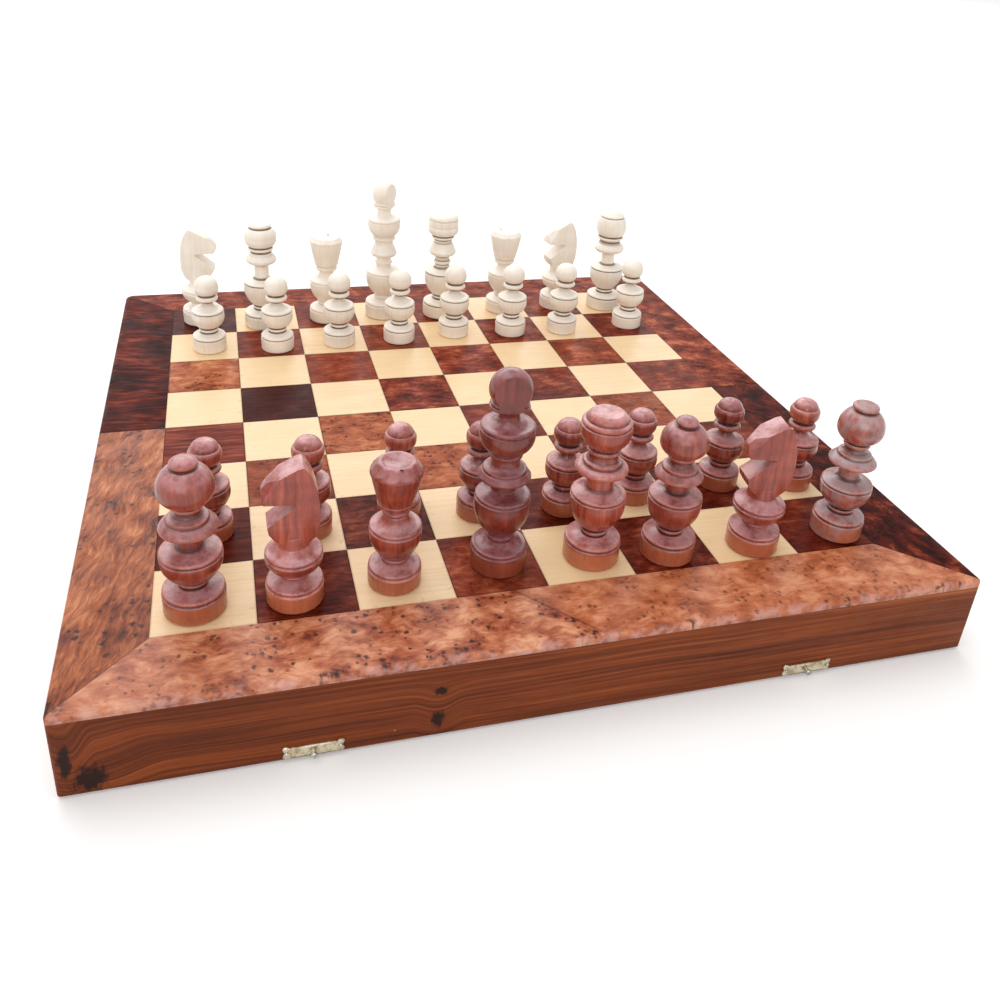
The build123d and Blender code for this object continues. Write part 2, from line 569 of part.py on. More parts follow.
save("hinge_pins", [xcyl(cx - HINGE_L / 2 + 0.3, cx + HINGE_L / 2 - 0.3, 0, AXIS_Z, PIN_R)
                    for cx in (-HINGE_X, HINGE_X)])
save("near_catch_studs", [catch_stud(cx, -1) for cx in CATCH_XS])
save("left_hook", hook(CATCH_XS[0]))
save("right_hook", hook(CATCH_XS[1]))

# ---------------------------------------------------------------- write the pieces
red = ["red_rook_left", "red_knight_left", "red_bishop_left", "red_king", "red_queen",
       "red_bishop_right", "red_knight_right", "red_rook_right"]
white = ["white_knight_left", "white_rook_left", "white_bishop_left", "white_king", "white_queen",
         "white_bishop_right", "white_knight_right", "white_rook_right"]
shapes = {
    "red_rook_left": lambda: turned(red_rook_profile(12.8, False)),
    "red_knight_left": lambda: knight(0),
    "red_bishop_left": lambda: goblet(red_goblet_profile(), 4, RED_CROWN_D, False),
    "red_king": lambda: king(red_king_profile(), -6),
    "red_queen": lambda: turned(red_queen_profile()),
    "red_bishop_right": lambda: turned(third_bulb_profile()),
    "red_knight_right": lambda: knight(-8),
    "red_rook_right": lambda: turned(red_rook_profile(12.0, True)),
    "white_knight_left": lambda: knight(170),
    "white_rook_left": lambda: turned(white_rook_profile(False)),
    "white_bishop_left": lambda: goblet(white_goblet_profile(), 160, WHITE_CROWN_D, True),
    "white_king": lambda: king(white_king_profile(), 50),
    "white_queen": lambda: turned(white_queen_profile()),
    "white_bishop_right": lambda: goblet(white_goblet_profile(), 200, WHITE_CROWN_D, True),
    "white_knight_right": lambda: knight(10),
    "white_rook_right": lambda: turned(white_rook_profile(True)),
}
for names, places in ((red, RED_BACK), (white, WHITE_BACK)):
    for n, xy in zip(names, places):
        save(n, place(shapes[n](), xy))
for side, places in (("red", RED_PAWNS), ("white", WHITE_PAWNS)):
    for i, xy in enumerate(places):
        save("%s_pawn_%d" % (side, i + 1), place(turned(pawn_profile(side == "red")), xy))
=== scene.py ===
import bpy, bmesh, math, random
from mathutils import Vector, Matrix, noise


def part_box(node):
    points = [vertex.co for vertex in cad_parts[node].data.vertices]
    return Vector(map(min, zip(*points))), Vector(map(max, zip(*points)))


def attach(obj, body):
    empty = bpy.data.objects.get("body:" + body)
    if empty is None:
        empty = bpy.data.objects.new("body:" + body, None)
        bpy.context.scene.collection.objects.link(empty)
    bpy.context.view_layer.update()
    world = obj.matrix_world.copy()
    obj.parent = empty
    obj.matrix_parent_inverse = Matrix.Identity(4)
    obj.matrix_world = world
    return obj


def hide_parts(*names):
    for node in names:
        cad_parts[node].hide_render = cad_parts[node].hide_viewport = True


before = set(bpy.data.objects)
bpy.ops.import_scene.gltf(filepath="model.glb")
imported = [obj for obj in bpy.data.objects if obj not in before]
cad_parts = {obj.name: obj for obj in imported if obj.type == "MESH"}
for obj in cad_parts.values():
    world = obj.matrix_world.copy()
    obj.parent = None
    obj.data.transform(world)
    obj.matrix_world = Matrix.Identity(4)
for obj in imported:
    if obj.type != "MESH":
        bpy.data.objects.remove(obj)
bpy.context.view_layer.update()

MM = 0.001
SQ = 41.5 * MM
F = 4 * SQ
H = 0.200
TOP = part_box("near_light_squares")[1][2]

# ------------------------------------------------------------------ camera
scene = bpy.context.scene
scene.view_settings.view_transform = "Standard"
scene.view_settings.look = "None"
cam_data = bpy.data.cameras.new("camera")
cam = bpy.data.objects.new("camera", cam_data)
scene.collection.objects.link(cam)
scene.camera = cam
cam_data.sensor_width = 36
cam_data.lens = 33.566
cam_data.shift_x = 0.02
cam_data.shift_y = -0.155
cam_data.clip_start = 0.01
cam_data.clip_end = 60
R = [(0.96493340, -0.25609882, 0.05759284),
     (-0.05681869, -0.41798073, -0.90667731),
     (0.25627168, 0.87161087, -0.41787476)]
C = (-3.08128 * SQ, -11.33015 * SQ, 6.37660 * SQ + TOP)
cam.matrix_world = Matrix(((R[0][0], -R[1][0], -R[2][0], C[0]),
                           (R[0][1], -R[1][1], -R[2][1], C[1]),
                           (R[0][2], -R[1][2], -R[2][2], C[2]),
                           (0, 0, 0, 1)))


# ------------------------------------------------------------------ node helpers
class Net:
    """A small builder for node trees."""

    def __init__(self, name):
        self.mat = bpy.data.materials.new(name)
        self.mat.use_nodes = True
        self.t = self.mat.node_tree
        self.t.nodes.clear()
        self.out = self.t.nodes.new("ShaderNodeOutputMaterial")
        self.bsdf = self.t.nodes.new("ShaderNodeBsdfPrincipled")
        self.t.links.new(self.bsdf.outputs[0], self.out.inputs[0])
        self.tc = self.t.nodes.new("ShaderNodeTexCoord")

    def obj(self):
        return self.tc.outputs["Object"]

    def link(self, a, b):
        self.t.links.new(a, b)

    def put(self, sock, v):
        if isinstance(v, bpy.types.NodeSocket):
            self.t.links.new(v, sock)
        else:
            sock.default_value = v

    def math(self, op, a, b=None, c=None, clamp=False):
        n = self.t.nodes.new("ShaderNodeMath")
        n.operation = op
        n.use_clamp = clamp
        for i, v in enumerate((a, b, c)):
            if v is not None:
                self.put(n.inputs[i], v)
        return n.outputs[0]

    def vmath(self, op, a, b=None, scale=None):
        n = self.t.nodes.new("ShaderNodeVectorMath")
        n.operation = op
        self.put(n.inputs[0], a)
        if b is not None:
            self.put(n.inputs[1], b)
        if scale is not None:
            self.put(n.inputs[3], scale)
        return n.outputs["Value"] if op in ("LENGTH", "DISTANCE", "DOT_PRODUCT") else n.outputs[0]

    def mapping(self, v, scale=(1, 1, 1), loc=(0, 0, 0), rot=(0, 0, 0)):
        n = self.t.nodes.new("ShaderNodeMapping")
        self.link(v, n.inputs[0])
        n.inputs["Scale"].default_value = scale
        n.inputs["Location"].default_value = loc
        n.inputs["Rotation"].default_value = rot
        return n.outputs[0]

    def noise(self, v, scale, detail=4, rough=0.55, dist=0.0, color=False):
        n = self.t.nodes.new("ShaderNodeTexNoise")
        self.link(v, n.inputs["Vector"])
        self.put(n.inputs["Scale"], scale)
        n.inputs["Detail"].default_value = detail
        n.inputs["Roughness"].default_value = rough
        self.put(n.inputs["Distortion"], dist)
        return n.outputs["Color" if color else 0]

    def voronoi(self, v, scale, feature="F1", rand=1.0, out="Distance"):
        n = self.t.nodes.new("ShaderNodeTexVoronoi")
        n.feature = feature
        self.link(v, n.inputs["Vector"])
        self.put(n.inputs["Scale"], scale)
        n.inputs["Randomness"].default_value = rand
        return n.outputs[out]

    def ramp(self, f, stops, interp="LINEAR"):
        n = self.t.nodes.new("ShaderNodeValToRGB")
        cr = n.color_ramp
        cr.interpolation = interp
        while len(cr.elements) < len(stops):
            cr.elements.new(0.5)
        for e, (p, c) in zip(cr.elements, stops):
            e.position = p
            e.color = (*c, 1) if not isinstance(c, (int, float)) else (c, c, c, 1)
        self.put(n.inputs[0], f)
        return n.outputs[0]

    def rng(self, f, a, b, c=0.0, d=1.0, smooth=True):
        n = self.t.nodes.new("ShaderNodeMapRange")
        n.interpolation_type = "SMOOTHSTEP" if smooth else "LINEAR"
        n.clamp = True
        self.put(n.inputs[0], f)
        n.inputs[1].default_value = a
        n.inputs[2].default_value = b
        n.inputs[3].default_value = c
        n.inputs[4].default_value = d
        return n.outputs[0]

    def mix(self, f, a, b, mode="MIX"):
        n = self.t.nodes.new("ShaderNodeMix")
        n.data_type = "RGBA"
        n.blend_type = mode
        self.put(n.inputs[0], f)
        self.put(n.inputs[6], a if isinstance(a, bpy.types.NodeSocket) else (*a, 1))
        self.put(n.inputs[7], b if isinstance(b, bpy.types.NodeSocket) else (*b, 1))
        return n.outputs[2]

    def attr(self, name, out="Color"):
        n = self.t.nodes.new("ShaderNodeAttribute")
        n.attribute_name = name
        return n.outputs[out]

    def sep(self, v):
        n = self.t.nodes.new("ShaderNodeSeparateXYZ")
        self.link(v, n.inputs[0])
        return n.outputs

    def comb(self, x, y, z):
        n = self.t.nodes.new("ShaderNodeCombineXYZ")
        for i, v in enumerate((x, y, z)):
            self.put(n.inputs[i], v)
        return n.outputs[0]

    def bump(self, h, strength=0.3, dist=0.0005, normal=None):
        n = self.t.nodes.new("ShaderNodeBump")
        n.inputs["Strength"].default_value = strength
        n.inputs["Distance"].default_value = dist
        self.link(h, n.inputs["Height"])
        if normal is not None:
            self.link(normal, n.inputs["Normal"])
        return n.outputs[0]

    def finish(self, color, rough, normal=None, **sockets):
        self.put(self.bsdf.inputs["Base Color"], color)
        self.put(self.bsdf.inputs["Roughness"], rough)
        if normal is not None:
            self.link(normal, self.bsdf.inputs["Normal"])
        for k, v in sockets.items():
            self.bsdf.inputs[k.replace("_", " ")].default_value = v
        return self.mat


def lin(r, g, b):
    """sRGB 0-255 to linear."""
    f = lambda c: (c / 255 / 12.92) if c / 255 <= 0.04045 else ((c / 255 + 0.055) / 1.055) ** 2.4
    return (f(r), f(g), f(b))


# ------------------------------------------------------------------ burl wood
def eyes(n, p, scale, size, seed):
    """Small burl eyes: dark piths of uneven size. Returns a mask."""
    q = n.mapping(p, loc=(seed * 0.37, seed * 0.73, seed * 0.11))
    wob = n.vmath("SCALE", n.vmath("SUBTRACT", n.noise(q, scale * 1.7, 2, color=True), (0.5, 0.5, 0.5)), scale=0.75 / scale)
    q = n.vmath("ADD", q, wob)
    d = n.voronoi(q, scale)
    r = n.sep(n.voronoi(q, scale, out="Color"))[0]
    live = n.rng(r, 0.36, 0.46)
    sz = n.math("MULTIPLY_ADD", r, size, size * 0.35)
    rel = n.math("DIVIDE", d, sz)
    return n.math("MULTIPLY", n.rng(rel, 1.1, 0.45), live)


def burl_color(n, p, stops, seed, grain_scale=210.0, stretch=(1, 1, 1), swirl=0.010, eye_scale=400.0,
               eye_size=0.30, cluster=0.50, eye_dark=(0.030, 0.007, 0.006), rot=0.0, cluster_scale=72.0, halo=0.55):
    """Swirling burl figure with clustered eyes. Returns colour, height and eye mask."""
    q = n.mapping(p, loc=(seed * 1.31, seed * 2.17, seed * 0.53), rot=(0, 0, rot))
    cl = n.noise(q, cluster_scale, 2, 0.5)
    # the grain flows round the clusters
    big = n.vmath("SUBTRACT", n.noise(q, cluster_scale * 0.75, 2, 0.5, color=True), (0.5, 0.5, 0.5))
    q1 = n.vmath("ADD", q, n.vmath("SCALE", big, scale=swirl))
    s = n.mapping(q1, scale=stretch)
    g1 = n.noise(s, grain_scale, 8, 0.66, 0.35)
    fine = n.noise(s, grain_scale * 4.0, 4, 0.65)
    v = n.math("ADD", n.math("MULTIPLY", g1, 0.80), n.math("MULTIPLY", fine, 0.20))
    v = n.math("SUBTRACT", v, n.math("MULTIPLY", n.math("SUBTRACT", cl, 0.5), halo))
    v = n.rng(v, 0.30, 0.70, smooth=False)
    col = n.ramp(v, stops)
    clm = n.rng(cl, cluster - 0.03, cluster + 0.04)
    e1 = eyes(n, q, eye_scale, eye_size, seed)
    e = n.math("MULTIPLY", e1, clm)
    col = n.mix(n.math("MULTIPLY", e, 0.92), col, eye_dark)
    height = n.math("SUBTRACT", n.math("MULTIPLY", g1, 0.35), n.math("MULTIPLY", e, 0.8))
    return col, height, e


PINK = [(0.0, lin(104, 36, 18)), (0.28, lin(158, 78, 46)), (0.6, lin(192, 116, 80)), (1.0, lin(224, 160, 122))]
ORANGE = [(0.0, lin(66, 22, 9)), (0.32, lin(126, 58, 29)), (0.65, lin(166, 92, 52)), (1.0, lin(200, 130, 84))]
REDDARK = [(0.0, lin(16, 3, 3)), (0.35, lin(50, 11, 6)), (0.65, lin(88, 25, 13)), (1.0, lin(140, 56, 34))]
FARBURL = [(0.0, lin(40, 8, 5)), (0.3, lin(98, 34, 18)), (0.65, lin(142, 62, 40)), (1.0, lin(186, 104, 74))]
BROWN = [(0.0, lin(44, 9, 6)), (0.3, lin(98, 28, 16)), (0.65, lin(146, 60, 38)), (1.0, lin(196, 112, 80))]
TAN = [(0.0, lin(92, 34, 18)), (0.3, lin(150, 74, 42)), (0.65, lin(182, 106, 70)), (1.0, lin(212, 148, 106))]
RIGHT = [(0.0, lin(16, 3, 3)), (0.33, lin(54, 13, 8)), (0.68, lin(92, 28, 16)), (1.0, lin(150, 70, 44))]


def strip_material(name, stops, seed, stretch, rot, swirl, gs, es, ez, cl, join=False, far=False, dark=(0.022, 0.005, 0.005),
                   stops2=None, cs=72.0, coat=0.0, spec=0.30, halo=0.55, rim_highlight_amt=0.08):
    """Veneer of one border strip: its own leaf of burl, burnt streaks along the edge where given, a painted pale
    highlight along the rounded outer edge, and the glue line at its mitres.
    """
    n = Net(name)
    p = n.obj()
    x, y, z = n.sep(p)
    # the veneer is wrapped over the rounded edge: on the wall side the figure carries on downwards
    ax = n.math("ABSOLUTE", x)
    ay = n.math("ABSOLUTE", y)
    col, hh, ee = burl_color(n, p, stops, seed, gs, stretch, swirl, es, ez, cl, dark, rot, cs, halo)
    if join:
        jn = n.math("ADD", x, n.math("MULTIPLY", y, 0.90))
        tint = n.rng(jn, -0.1655, -0.1650)
        col = n.mix(n.math("MULTIPLY", tint, 0.30), col, lin(196, 112, 66))
        line = n.math("MULTIPLY", n.rng(jn, -0.1664, -0.1656), n.rng(jn, -0.1643, -0.1651))
        col = n.mix(n.math("MULTIPLY", line, 0.55), col, lin(84, 36, 22))
        grey = n.math("MULTIPLY", n.rng(x, -0.06, -0.19), n.rng(n.noise(p, 30, 3), 0.3, 0.7, 0.3, 0.8))
        col = n.mix(n.math("MULTIPLY", grey, 0.45), col, lin(176, 112, 84))
    mit = n.math("ABSOLUTE", n.math("SUBTRACT", ax, ay))
    col = n.mix(n.math("MULTIPLY", n.rng(mit, 0.0007, 0.0002), 0.55), col, lin(60, 26, 18))
    under = n.rng(z, TOP - 0.0010, TOP - 0.0030)
    col = n.mix(n.math("MULTIPLY", under, 0.40), col, lin(112, 54, 28))
    # painted highlight: in patches, the rounded outer edge is mixed towards a pale lavender that stands in for light
    # reflected off the edge; the mask held in wear below is this highlight, its strength set per strip by the last
    # keyword argument
    rim = n.rng(n.math("MAXIMUM", ax, ay), 0.1965, 0.2)
    wear = n.math("MULTIPLY", rim, n.rng(n.noise(p, 160, 3, 0.6), 0.40, 0.62))
    col = n.mix(n.math("MULTIPLY", wear, rim_highlight_amt), col, lin(214, 172, 166))
    if stops2:
        streak = n.noise(n.mapping(p, scale=(1, 1, 0.25)), 105, 4, 0.65)
        burn = n.math("MULTIPLY", n.rng(n.math("MAXIMUM", ax, ay), 0.1968, 0.1990), n.rng(streak, 0.57, 0.66))
        col = n.mix(n.math("MULTIPLY", burn, 0.85), col, stops2)
    rough = n.rng(n.noise(p, 90, 4, 0.6), 0.3, 0.75, 0.30, 0.46)
    fine = n.noise(p, 1400, 3, 0.6)
    b1 = n.bump(hh, 0.16, 0.0003)
    b2 = n.bump(fine, 0.05, 0.0002, b1)
    return n.finish(col, rough, b2, Coat_Weight=coat, Coat_Roughness=0.25, Specular_IOR_Level=spec)


def dark_square_material():
    """Burl squares. Each square carries its own cut in the attributes cut (offset) and look (tone, eyes, straightness)."""
    n = Net("burl squares")
    off = n.attr("cut", "Vector")
    look = n.sep(n.attr("look", "Vector"))
    tone, eye, straight = look
    p = n.vmath("ADD", n.obj(), off)
    cA, hA, eA = burl_color(n, p, BROWN, 2.2, 210, (0.55, 1.5, 1), 0.010, 400, 0.32, 0.52)
    cB, hB, eB = burl_color(n, p, BROWN, 6.4, 190, (0.16, 3.0, 1), 0.004, 300, 0.16, 0.64, cluster_scale=36.0, halo=0.25)
    cC, hC, eC = burl_color(n, p, TAN, 9.1, 160, (0.6, 1.5, 1), 0.013, 330, 0.36, 0.49)
    col = n.mix(straight, cA, cB)
    col = n.mix(eye, col, cC)
    hh = n.mix(eye, n.mix(straight, hA, hB), hC)
    dark = n.mix(1.0, col, lin(128, 92, 96), "MULTIPLY")
    col = n.mix(tone, col, dark)
    u = n.attr("uvq", "Vector")
    ux, uy, _ = n.sep(u)
    ed = n.math("MINIMUM", n.math("MINIMUM", ux, n.math("SUBTRACT", 1.0, ux)), n.math("MINIMUM", uy, n.math("SUBTRACT", 1.0, uy)))
    edge = n.rng(ed, 0.018, 0.002)
    col = n.mix(n.math("MULTIPLY", edge, 0.55), col, lin(34, 12, 9))
    rough = n.rng(n.noise(p, 120, 4, 0.6), 0.3, 0.75, 0.30, 0.46)
    b = n.bump(hh, 0.16, 0.0003)
    return n.finish(col, rough, b, Coat_Weight=0.0, Specular_IOR_Level=0.06)


def light_square_material():
    n = Net("pale squares")
    off = n.attr("cut", "Vector")
    look = n.sep(n.attr("look", "Vector"))
    p = n.vmath("ADD", n.obj(), off)
    warp = n.vmath("SCALE", n.vmath("SUBTRACT", n.noise(p, 40, 2, color=True), (0.5, 0.5, 0.5)), scale=0.003)
    q = n.mapping(n.vmath("ADD", p, warp), scale=(0.18, 2.4, 1))
    g = n.noise(q, 210, 6, 0.6)
    g2 = n.noise(n.mapping(p, scale=(0.06, 3.0, 1)), 420, 3, 0.5)
    v = n.math("ADD", n.math("MULTIPLY", g, 0.65), n.math("MULTIPLY", g2, 0.35))
    col = n.ramp(v, [(0.25, lin(222, 186, 140)), (0.5, lin(236, 205, 163)), (0.75, lin(245, 219, 182))])
    soft = n.noise(p, 26, 3, 0.5)
    col = n.mix(n.rng(soft, 0.35, 0.7, 0.0, 0.35), col, lin(236, 198, 150))
    col = n.mix(look[0], col, lin(237, 204, 152))
    # specks and small scratches of dirt
    sp = n.voronoi(p, 150)
    cell = n.sep(n.voronoi(p, 150, out="Color"))
    speck = n.math("MULTIPLY", n.rng(sp, 0.075, 0.03), n.math("GREATER_THAN", cell[0], 0.80))
    col = n.mix(n.math("MULTIPLY", speck, 0.65), col, lin(120, 70, 40))
    u = n.attr("uvq", "Vector")
    ux, uy, _ = n.sep(u)
    ed = n.math("MINIMUM", n.math("MINIMUM", ux, n.math("SUBTRACT", 1.0, ux)), n.math("MINIMUM", uy, n.math("SUBTRACT", 1.0, uy)))
    edge = n.rng(ed, 0.016, 0.003)
    grime = n.math("MULTIPLY", n.rng(ed, 0.16, 0.0), n.rng(n.noise(p, 210, 4, 0.65), 0.56, 0.76))
    col = n.mix(n.math("MULTIPLY", edge, 0.35), col, lin(150, 92, 54))
    col = n.mix(n.math("MULTIPLY", grime, 0.45), col, lin(176, 122, 80))
    rough = n.rng(n.noise(p, 90, 3, 0.6), 0.3, 0.75, 0.34, 0.48)
    b = n.bump(n.math("SUBTRACT", v, n.math("MULTIPLY", speck, 0.6)), 0.10, 0.0002)
    return n.finish(col, rough, b, Coat_Weight=0.05, Coat_Roughness=0.25, Specular_IOR_Level=0.45)


def wall_material(name, axis, knots=(), stops=None, seed=0.0):
    """Straight-grained reddish-brown wood running along one axis, with a few dark knots."""
    n = Net(name)
    p = n.obj()
    x, y, z = n.sep(p)
    run, across = (x, y) if axis == "x" else (y, x)
    zz = z
    kmask = None
    for kx, kz, rx, rz in knots:
        dx = n.math("DIVIDE", n.math("SUBTRACT", run, kx), rx)
        dz = n.math("DIVIDE", n.math("SUBTRACT", z, kz), rz)
        d = n.math("SQRT", n.math("ADD", n.math("MULTIPLY", dx, dx), n.math("MULTIPLY", dz, dz)))
        pull = n.math("MULTIPLY", n.rng(d, 4.5, 0.8), rz * 0.8)
        zz = n.math("ADD", zz, pull)
        ragged = n.noise(n.mapping(p, scale=(1, 1, 0.45)), 330, 4, 0.7)
        k = n.rng(n.math("ADD", d, n.math("MULTIPLY", n.math("SUBTRACT", ragged, 0.5), 2.6)), 1.25, 0.55)
        kmask = k if kmask is None else n.math("MAXIMUM", kmask, k)
    q = n.mapping(n.comb(run, zz, across), loc=(seed, seed * 0.7, 0))
    w = n.vmath("SCALE", n.vmath("SUBTRACT", n.noise(n.mapping(q, scale=(0.22, 0.6, 1)), 26, 2, color=True), (0.5, 0.5, 0.5)), scale=0.010)
    q1 = n.vmath("ADD", q, w)
    g = n.noise(n.mapping(q1, scale=(0.035, 2.2, 1.0)), 330, 5, 0.62)
    band = n.noise(n.mapping(q1, scale=(0.02, 1.0, 0.6)), 150, 3, 0.5)
    pores = n.noise(n.mapping(q1, scale=(0.10, 4.0, 2.0)), 800, 3, 0.7)
    v = n.math("ADD", n.math("MULTIPLY", g, 0.6), n.math("MULTIPLY", band, 0.4))
    v = n.rng(v, 0.32, 0.68, smooth=False)
    stops = stops or [(0.0, lin(66, 25, 7)), (0.4, lin(102, 44, 15)), (0.7, lin(128, 60, 23)), (1.0, lin(156, 86, 42))]
    col = n.ramp(v, stops)
    pore = n.rng(pores, 0.60, 0.72)
    col = n.mix(n.math("MULTIPLY", pore, 0.40), col, lin(60, 21, 9))
    if kmask is not None:
        col = n.mix(n.math("MULTIPLY", kmask, 0.92), col, lin(26, 9, 7))
    low = n.rng(z, 0.005, 0.001)
    col = n.mix(n.math("MULTIPLY", low, 0.30), col, lin(46, 20, 12))
    fleck = n.math("MULTIPLY", n.rng(n.voronoi(p, 90), 0.045, 0.02), n.math("GREATER_THAN", n.sep(n.voronoi(p, 90, out="Color"))[1], 0.86))
    col = n.mix(n.math("MULTIPLY", fleck, 0.5), col, lin(214, 170, 130))
    rough = n.rng(n.noise(p, 120, 3), 0.3, 0.75, 0.42, 0.58)
    hh = n.math("SUBTRACT", g, n.math("MULTIPLY", pore, 0.9))
    b = n.bump(hh, 0.30, 0.00030)
    return n.finish(col, rough, b, Specular_IOR_Level=0.14)


def piece_material(name, stops, groove, groove_shade_amt, pore_col, pore_amt, rough_lo, rough_hi, coat, top_sheen_col, top_sheen_amt, base_tone,
                   base_amt, spec):
    """Turned wood: grain runs up the axis, tool marks run round it, the grooves carry painted shade and the upward
    faces carry a painted pale sheen."""
    n = Net(name)
    off = n.attr("cut", "Vector")
    wear = n.sep(n.attr("look", "Vector"))
    p0 = n.attr("own", "Vector")     # the piece's own coordinates, metres, axis at 0,0
    p = n.vmath("ADD", p0, off)
    w = n.vmath("SCALE", n.vmath("SUBTRACT", n.noise(p, 60, 2, color=True), (0.5, 0.5, 0.5)), scale=0.003)
    q = n.vmath("ADD", p, w)
    g = n.noise(n.mapping(q, scale=(2.2, 2.2, 0.12)), 240, 6, 0.62)
    rings = n.noise(n.mapping(q, scale=(1.0, 0.30, 0.06)), 200, 3, 0.5)
    mott = n.noise(q, 60, 3, 0.55)
    v = n.math("ADD", n.math("MULTIPLY", g, 0.50), n.math("ADD", n.math("MULTIPLY", rings, 0.28), n.math("MULTIPLY", mott, 0.22)))
    v = n.rng(v, 0.30, 0.70, smooth=False)
    col = n.ramp(v, stops)
    # turned faces differ in tone from band to band up the piece
    zb = n.sep(p)[2]
    bandn = n.noise(n.comb(0.0, 0.0, zb), 120, 2, 0.5)
    col = n.mix(n.rng(bandn, 0.35, 0.65, 0.0, 0.30), col, stops[0][1])
    z0 = n.sep(p0)[2]
    col = n.mix(n.math("MULTIPLY", n.rng(z0, 0.0092, 0.0080), base_amt), col, base_tone)
    pores = n.noise(n.mapping(q, scale=(3.0, 3.0, 0.20)), 700, 3, 0.7)
    pore = n.rng(pores, 0.60, 0.74)
    col = n.mix(n.math("MULTIPLY", pore, pore_amt), col, pore_col)
    # painted sheen: faces that look up are mixed, in patches, towards a pale colour that stands in for light reflected
    # from above
    geo = n.t.nodes.new("ShaderNodeNewGeometry")
    up = n.sep(geo.outputs["Normal"])[2]
    painted_top_sheen = n.math("MULTIPLY", n.rng(up, 0.15, 0.95), n.rng(n.noise(p, 150, 5, 0.68), 0.34, 0.62, 0.25, 1.0))
    col = n.mix(n.math("MULTIPLY", painted_top_sheen, top_sheen_amt), col, top_sheen_col)
    # worn and greyed where look.x says so
    greyn = n.rng(n.noise(p, 150, 4, 0.6), 0.38, 0.62)
    col = n.mix(n.math("MULTIPLY", wear[0], n.math("MULTIPLY_ADD", greyn, 0.45, n.math("MULTIPLY", painted_top_sheen, 0.45))), col, lin(166, 152, 152))
    col = n.mix(wear[1], col, n.mix(1.0, col, lin(178, 150, 160), "MULTIPLY"))
    # painted shade: grooves and hollows of the profile are darkened, and crests are mixed towards the lightest wood
    # colour
    cavs = n.sep(n.attr("cavity", "Vector"))
    brk = n.math("MULTIPLY_ADD", n.noise(p, 260, 3, 0.6), 0.5, 0.72)
    col = n.mix(n.math("MULTIPLY", n.math("MULTIPLY", cavs[0], brk), groove_shade_amt, clamp=True), col, groove)
    col = n.mix(n.math("MULTIPLY", cavs[1], 0.25), col, stops[-1][1])
    rough = n.rng(n.noise(p, 130, 3, 0.6), 0.3, 0.75, rough_lo, rough_hi)
    wob = n.math("MULTIPLY_ADD", n.noise(p, 90, 2), 0.0012, zb)
    tool = n.math("SINE", n.math("MULTIPLY", wob, 2 * math.pi / 0.00055))
    tool2 = n.noise(n.mapping(p, scale=(0.02, 0.02, 1.0)), 1500, 2)
    hh = n.math("ADD", n.math("MULTIPLY", tool, 0.10), n.math("SUBTRACT", n.math("MULTIPLY", tool2, 0.5), n.math("MULTIPLY", pore, 0.6)))
    b = n.bump(hh, 0.14, 0.00022)
    ding = n.bump(n.noise(p, 120, 3, 0.5), 0.08, 0.0006, b)
    return n.finish(col, rough, ding, Coat_Weight=coat, Coat_Roughness=0.22, Specular_IOR_Level=spec)


def metal_material(name, base, dark, rough_lo, rough_hi, spots):
    n = Net(name)
    p = n.obj()
    g = n.noise(p, 420, 5, 0.65)
    s = n.noise(p, 1300, 4, 0.7)
    m = n.rng(g, 0.40, 0.66)
    col = n.mix(m, base, dark)
    sp = n.rng(s, 0.58, 0.70)
    col = n.mix(n.math("MULTIPLY", sp, spots), col, lin(70, 62, 44))
    rough = n.math("ADD", n.rng(s, 0.3, 0.7, rough_lo, rough_hi), n.math("MULTIPLY", sp, 0.2))
    b = n.bump(n.math("ADD", g, n.math("MULTIPLY", s, 0.5)), 0.35, 0.00025)
    return n.finish(col, rough, b, Metallic=1.0)


M_near_strip = strip_material("near strip burl", PINK, 1.3, (0.55, 1.35, 1), 0.0, 0.014, 190, 330, 0.36, 0.455, join=True,
                              stops2=lin(60, 20, 20), cs=78.0, coat=0.06, spec=0.35, halo=0.75, rim_highlight_amt=0.38)
M_left_near = strip_material("left near strip", ORANGE, 7.7, (2.2, 0.40, 1), 0.25, 0.010, 190, 270, 0.36, 0.525,
                             stops2=lin(40, 14, 10), cs=50.0, spec=0.20, halo=0.5)
M_left_far = strip_material("left far strip", REDDARK, 11.2, (0.42, 2.6, 1), 0.15, 0.016, 120, 300, 0.20, 0.62, cs=40.0,
                            spec=0.03)
M_right_near = strip_material("right near strip", RIGHT, 15.9, (1.3, 0.7, 1), -0.4, 0.014, 150, 400, 0.34, 0.50, spec=0.05)
M_right_far = strip_material("right far strip", FARBURL, 21.3, (0.8, 1.5, 1), 0.4, 0.014, 140, 380, 0.30, 0.52, spec=0.04)
M_far_strip = strip_material("far strip burl", FARBURL, 31.7, (0.7, 1.8, 1), 0.0, 0.013, 150, 360, 0.28, 0.52, spec=0.04)
M_dark = dark_square_material()
M_light = light_square_material()
RIM = 0.0013
M_front = wall_material("near wall wood", "x", knots=[(-0.1875, 0.0080, 0.0062, 0.0072), (-0.1955, 0.0180, 0.0026, 0.0085),
                        (-0.0560, 0.0100, 0.0026, 0.0048), (-0.0550, 0.0245, 0.0036, 0.0020)],
                        seed=0.3)
M_back = wall_material("far wall wood", "x", knots=[(0.06, 0.02, 0.0030, 0.0018)], seed=2.1)
M_side = wall_material("side wall wood", "y", knots=[(-0.12, 0.022, 0.0026, 0.0016), (0.09, 0.014, 0.0030, 0.0018)], seed=4.4)
M_seam = wall_material("seam wall wood", "x", seed=6.2)
M_panel = wall_material("panel wood", "x", stops=[(0.0, lin(120, 76, 46)), (0.4, lin(156, 106, 68)), (0.7, lin(180, 130, 88)), (1.0, lin(200, 152, 108))], seed=8.8)
RED = [(0.0, lin(84, 24, 18)), (0.3, lin(132, 48, 34)), (0.62, lin(168, 76, 54)), (1.0, lin(206, 118, 90))]
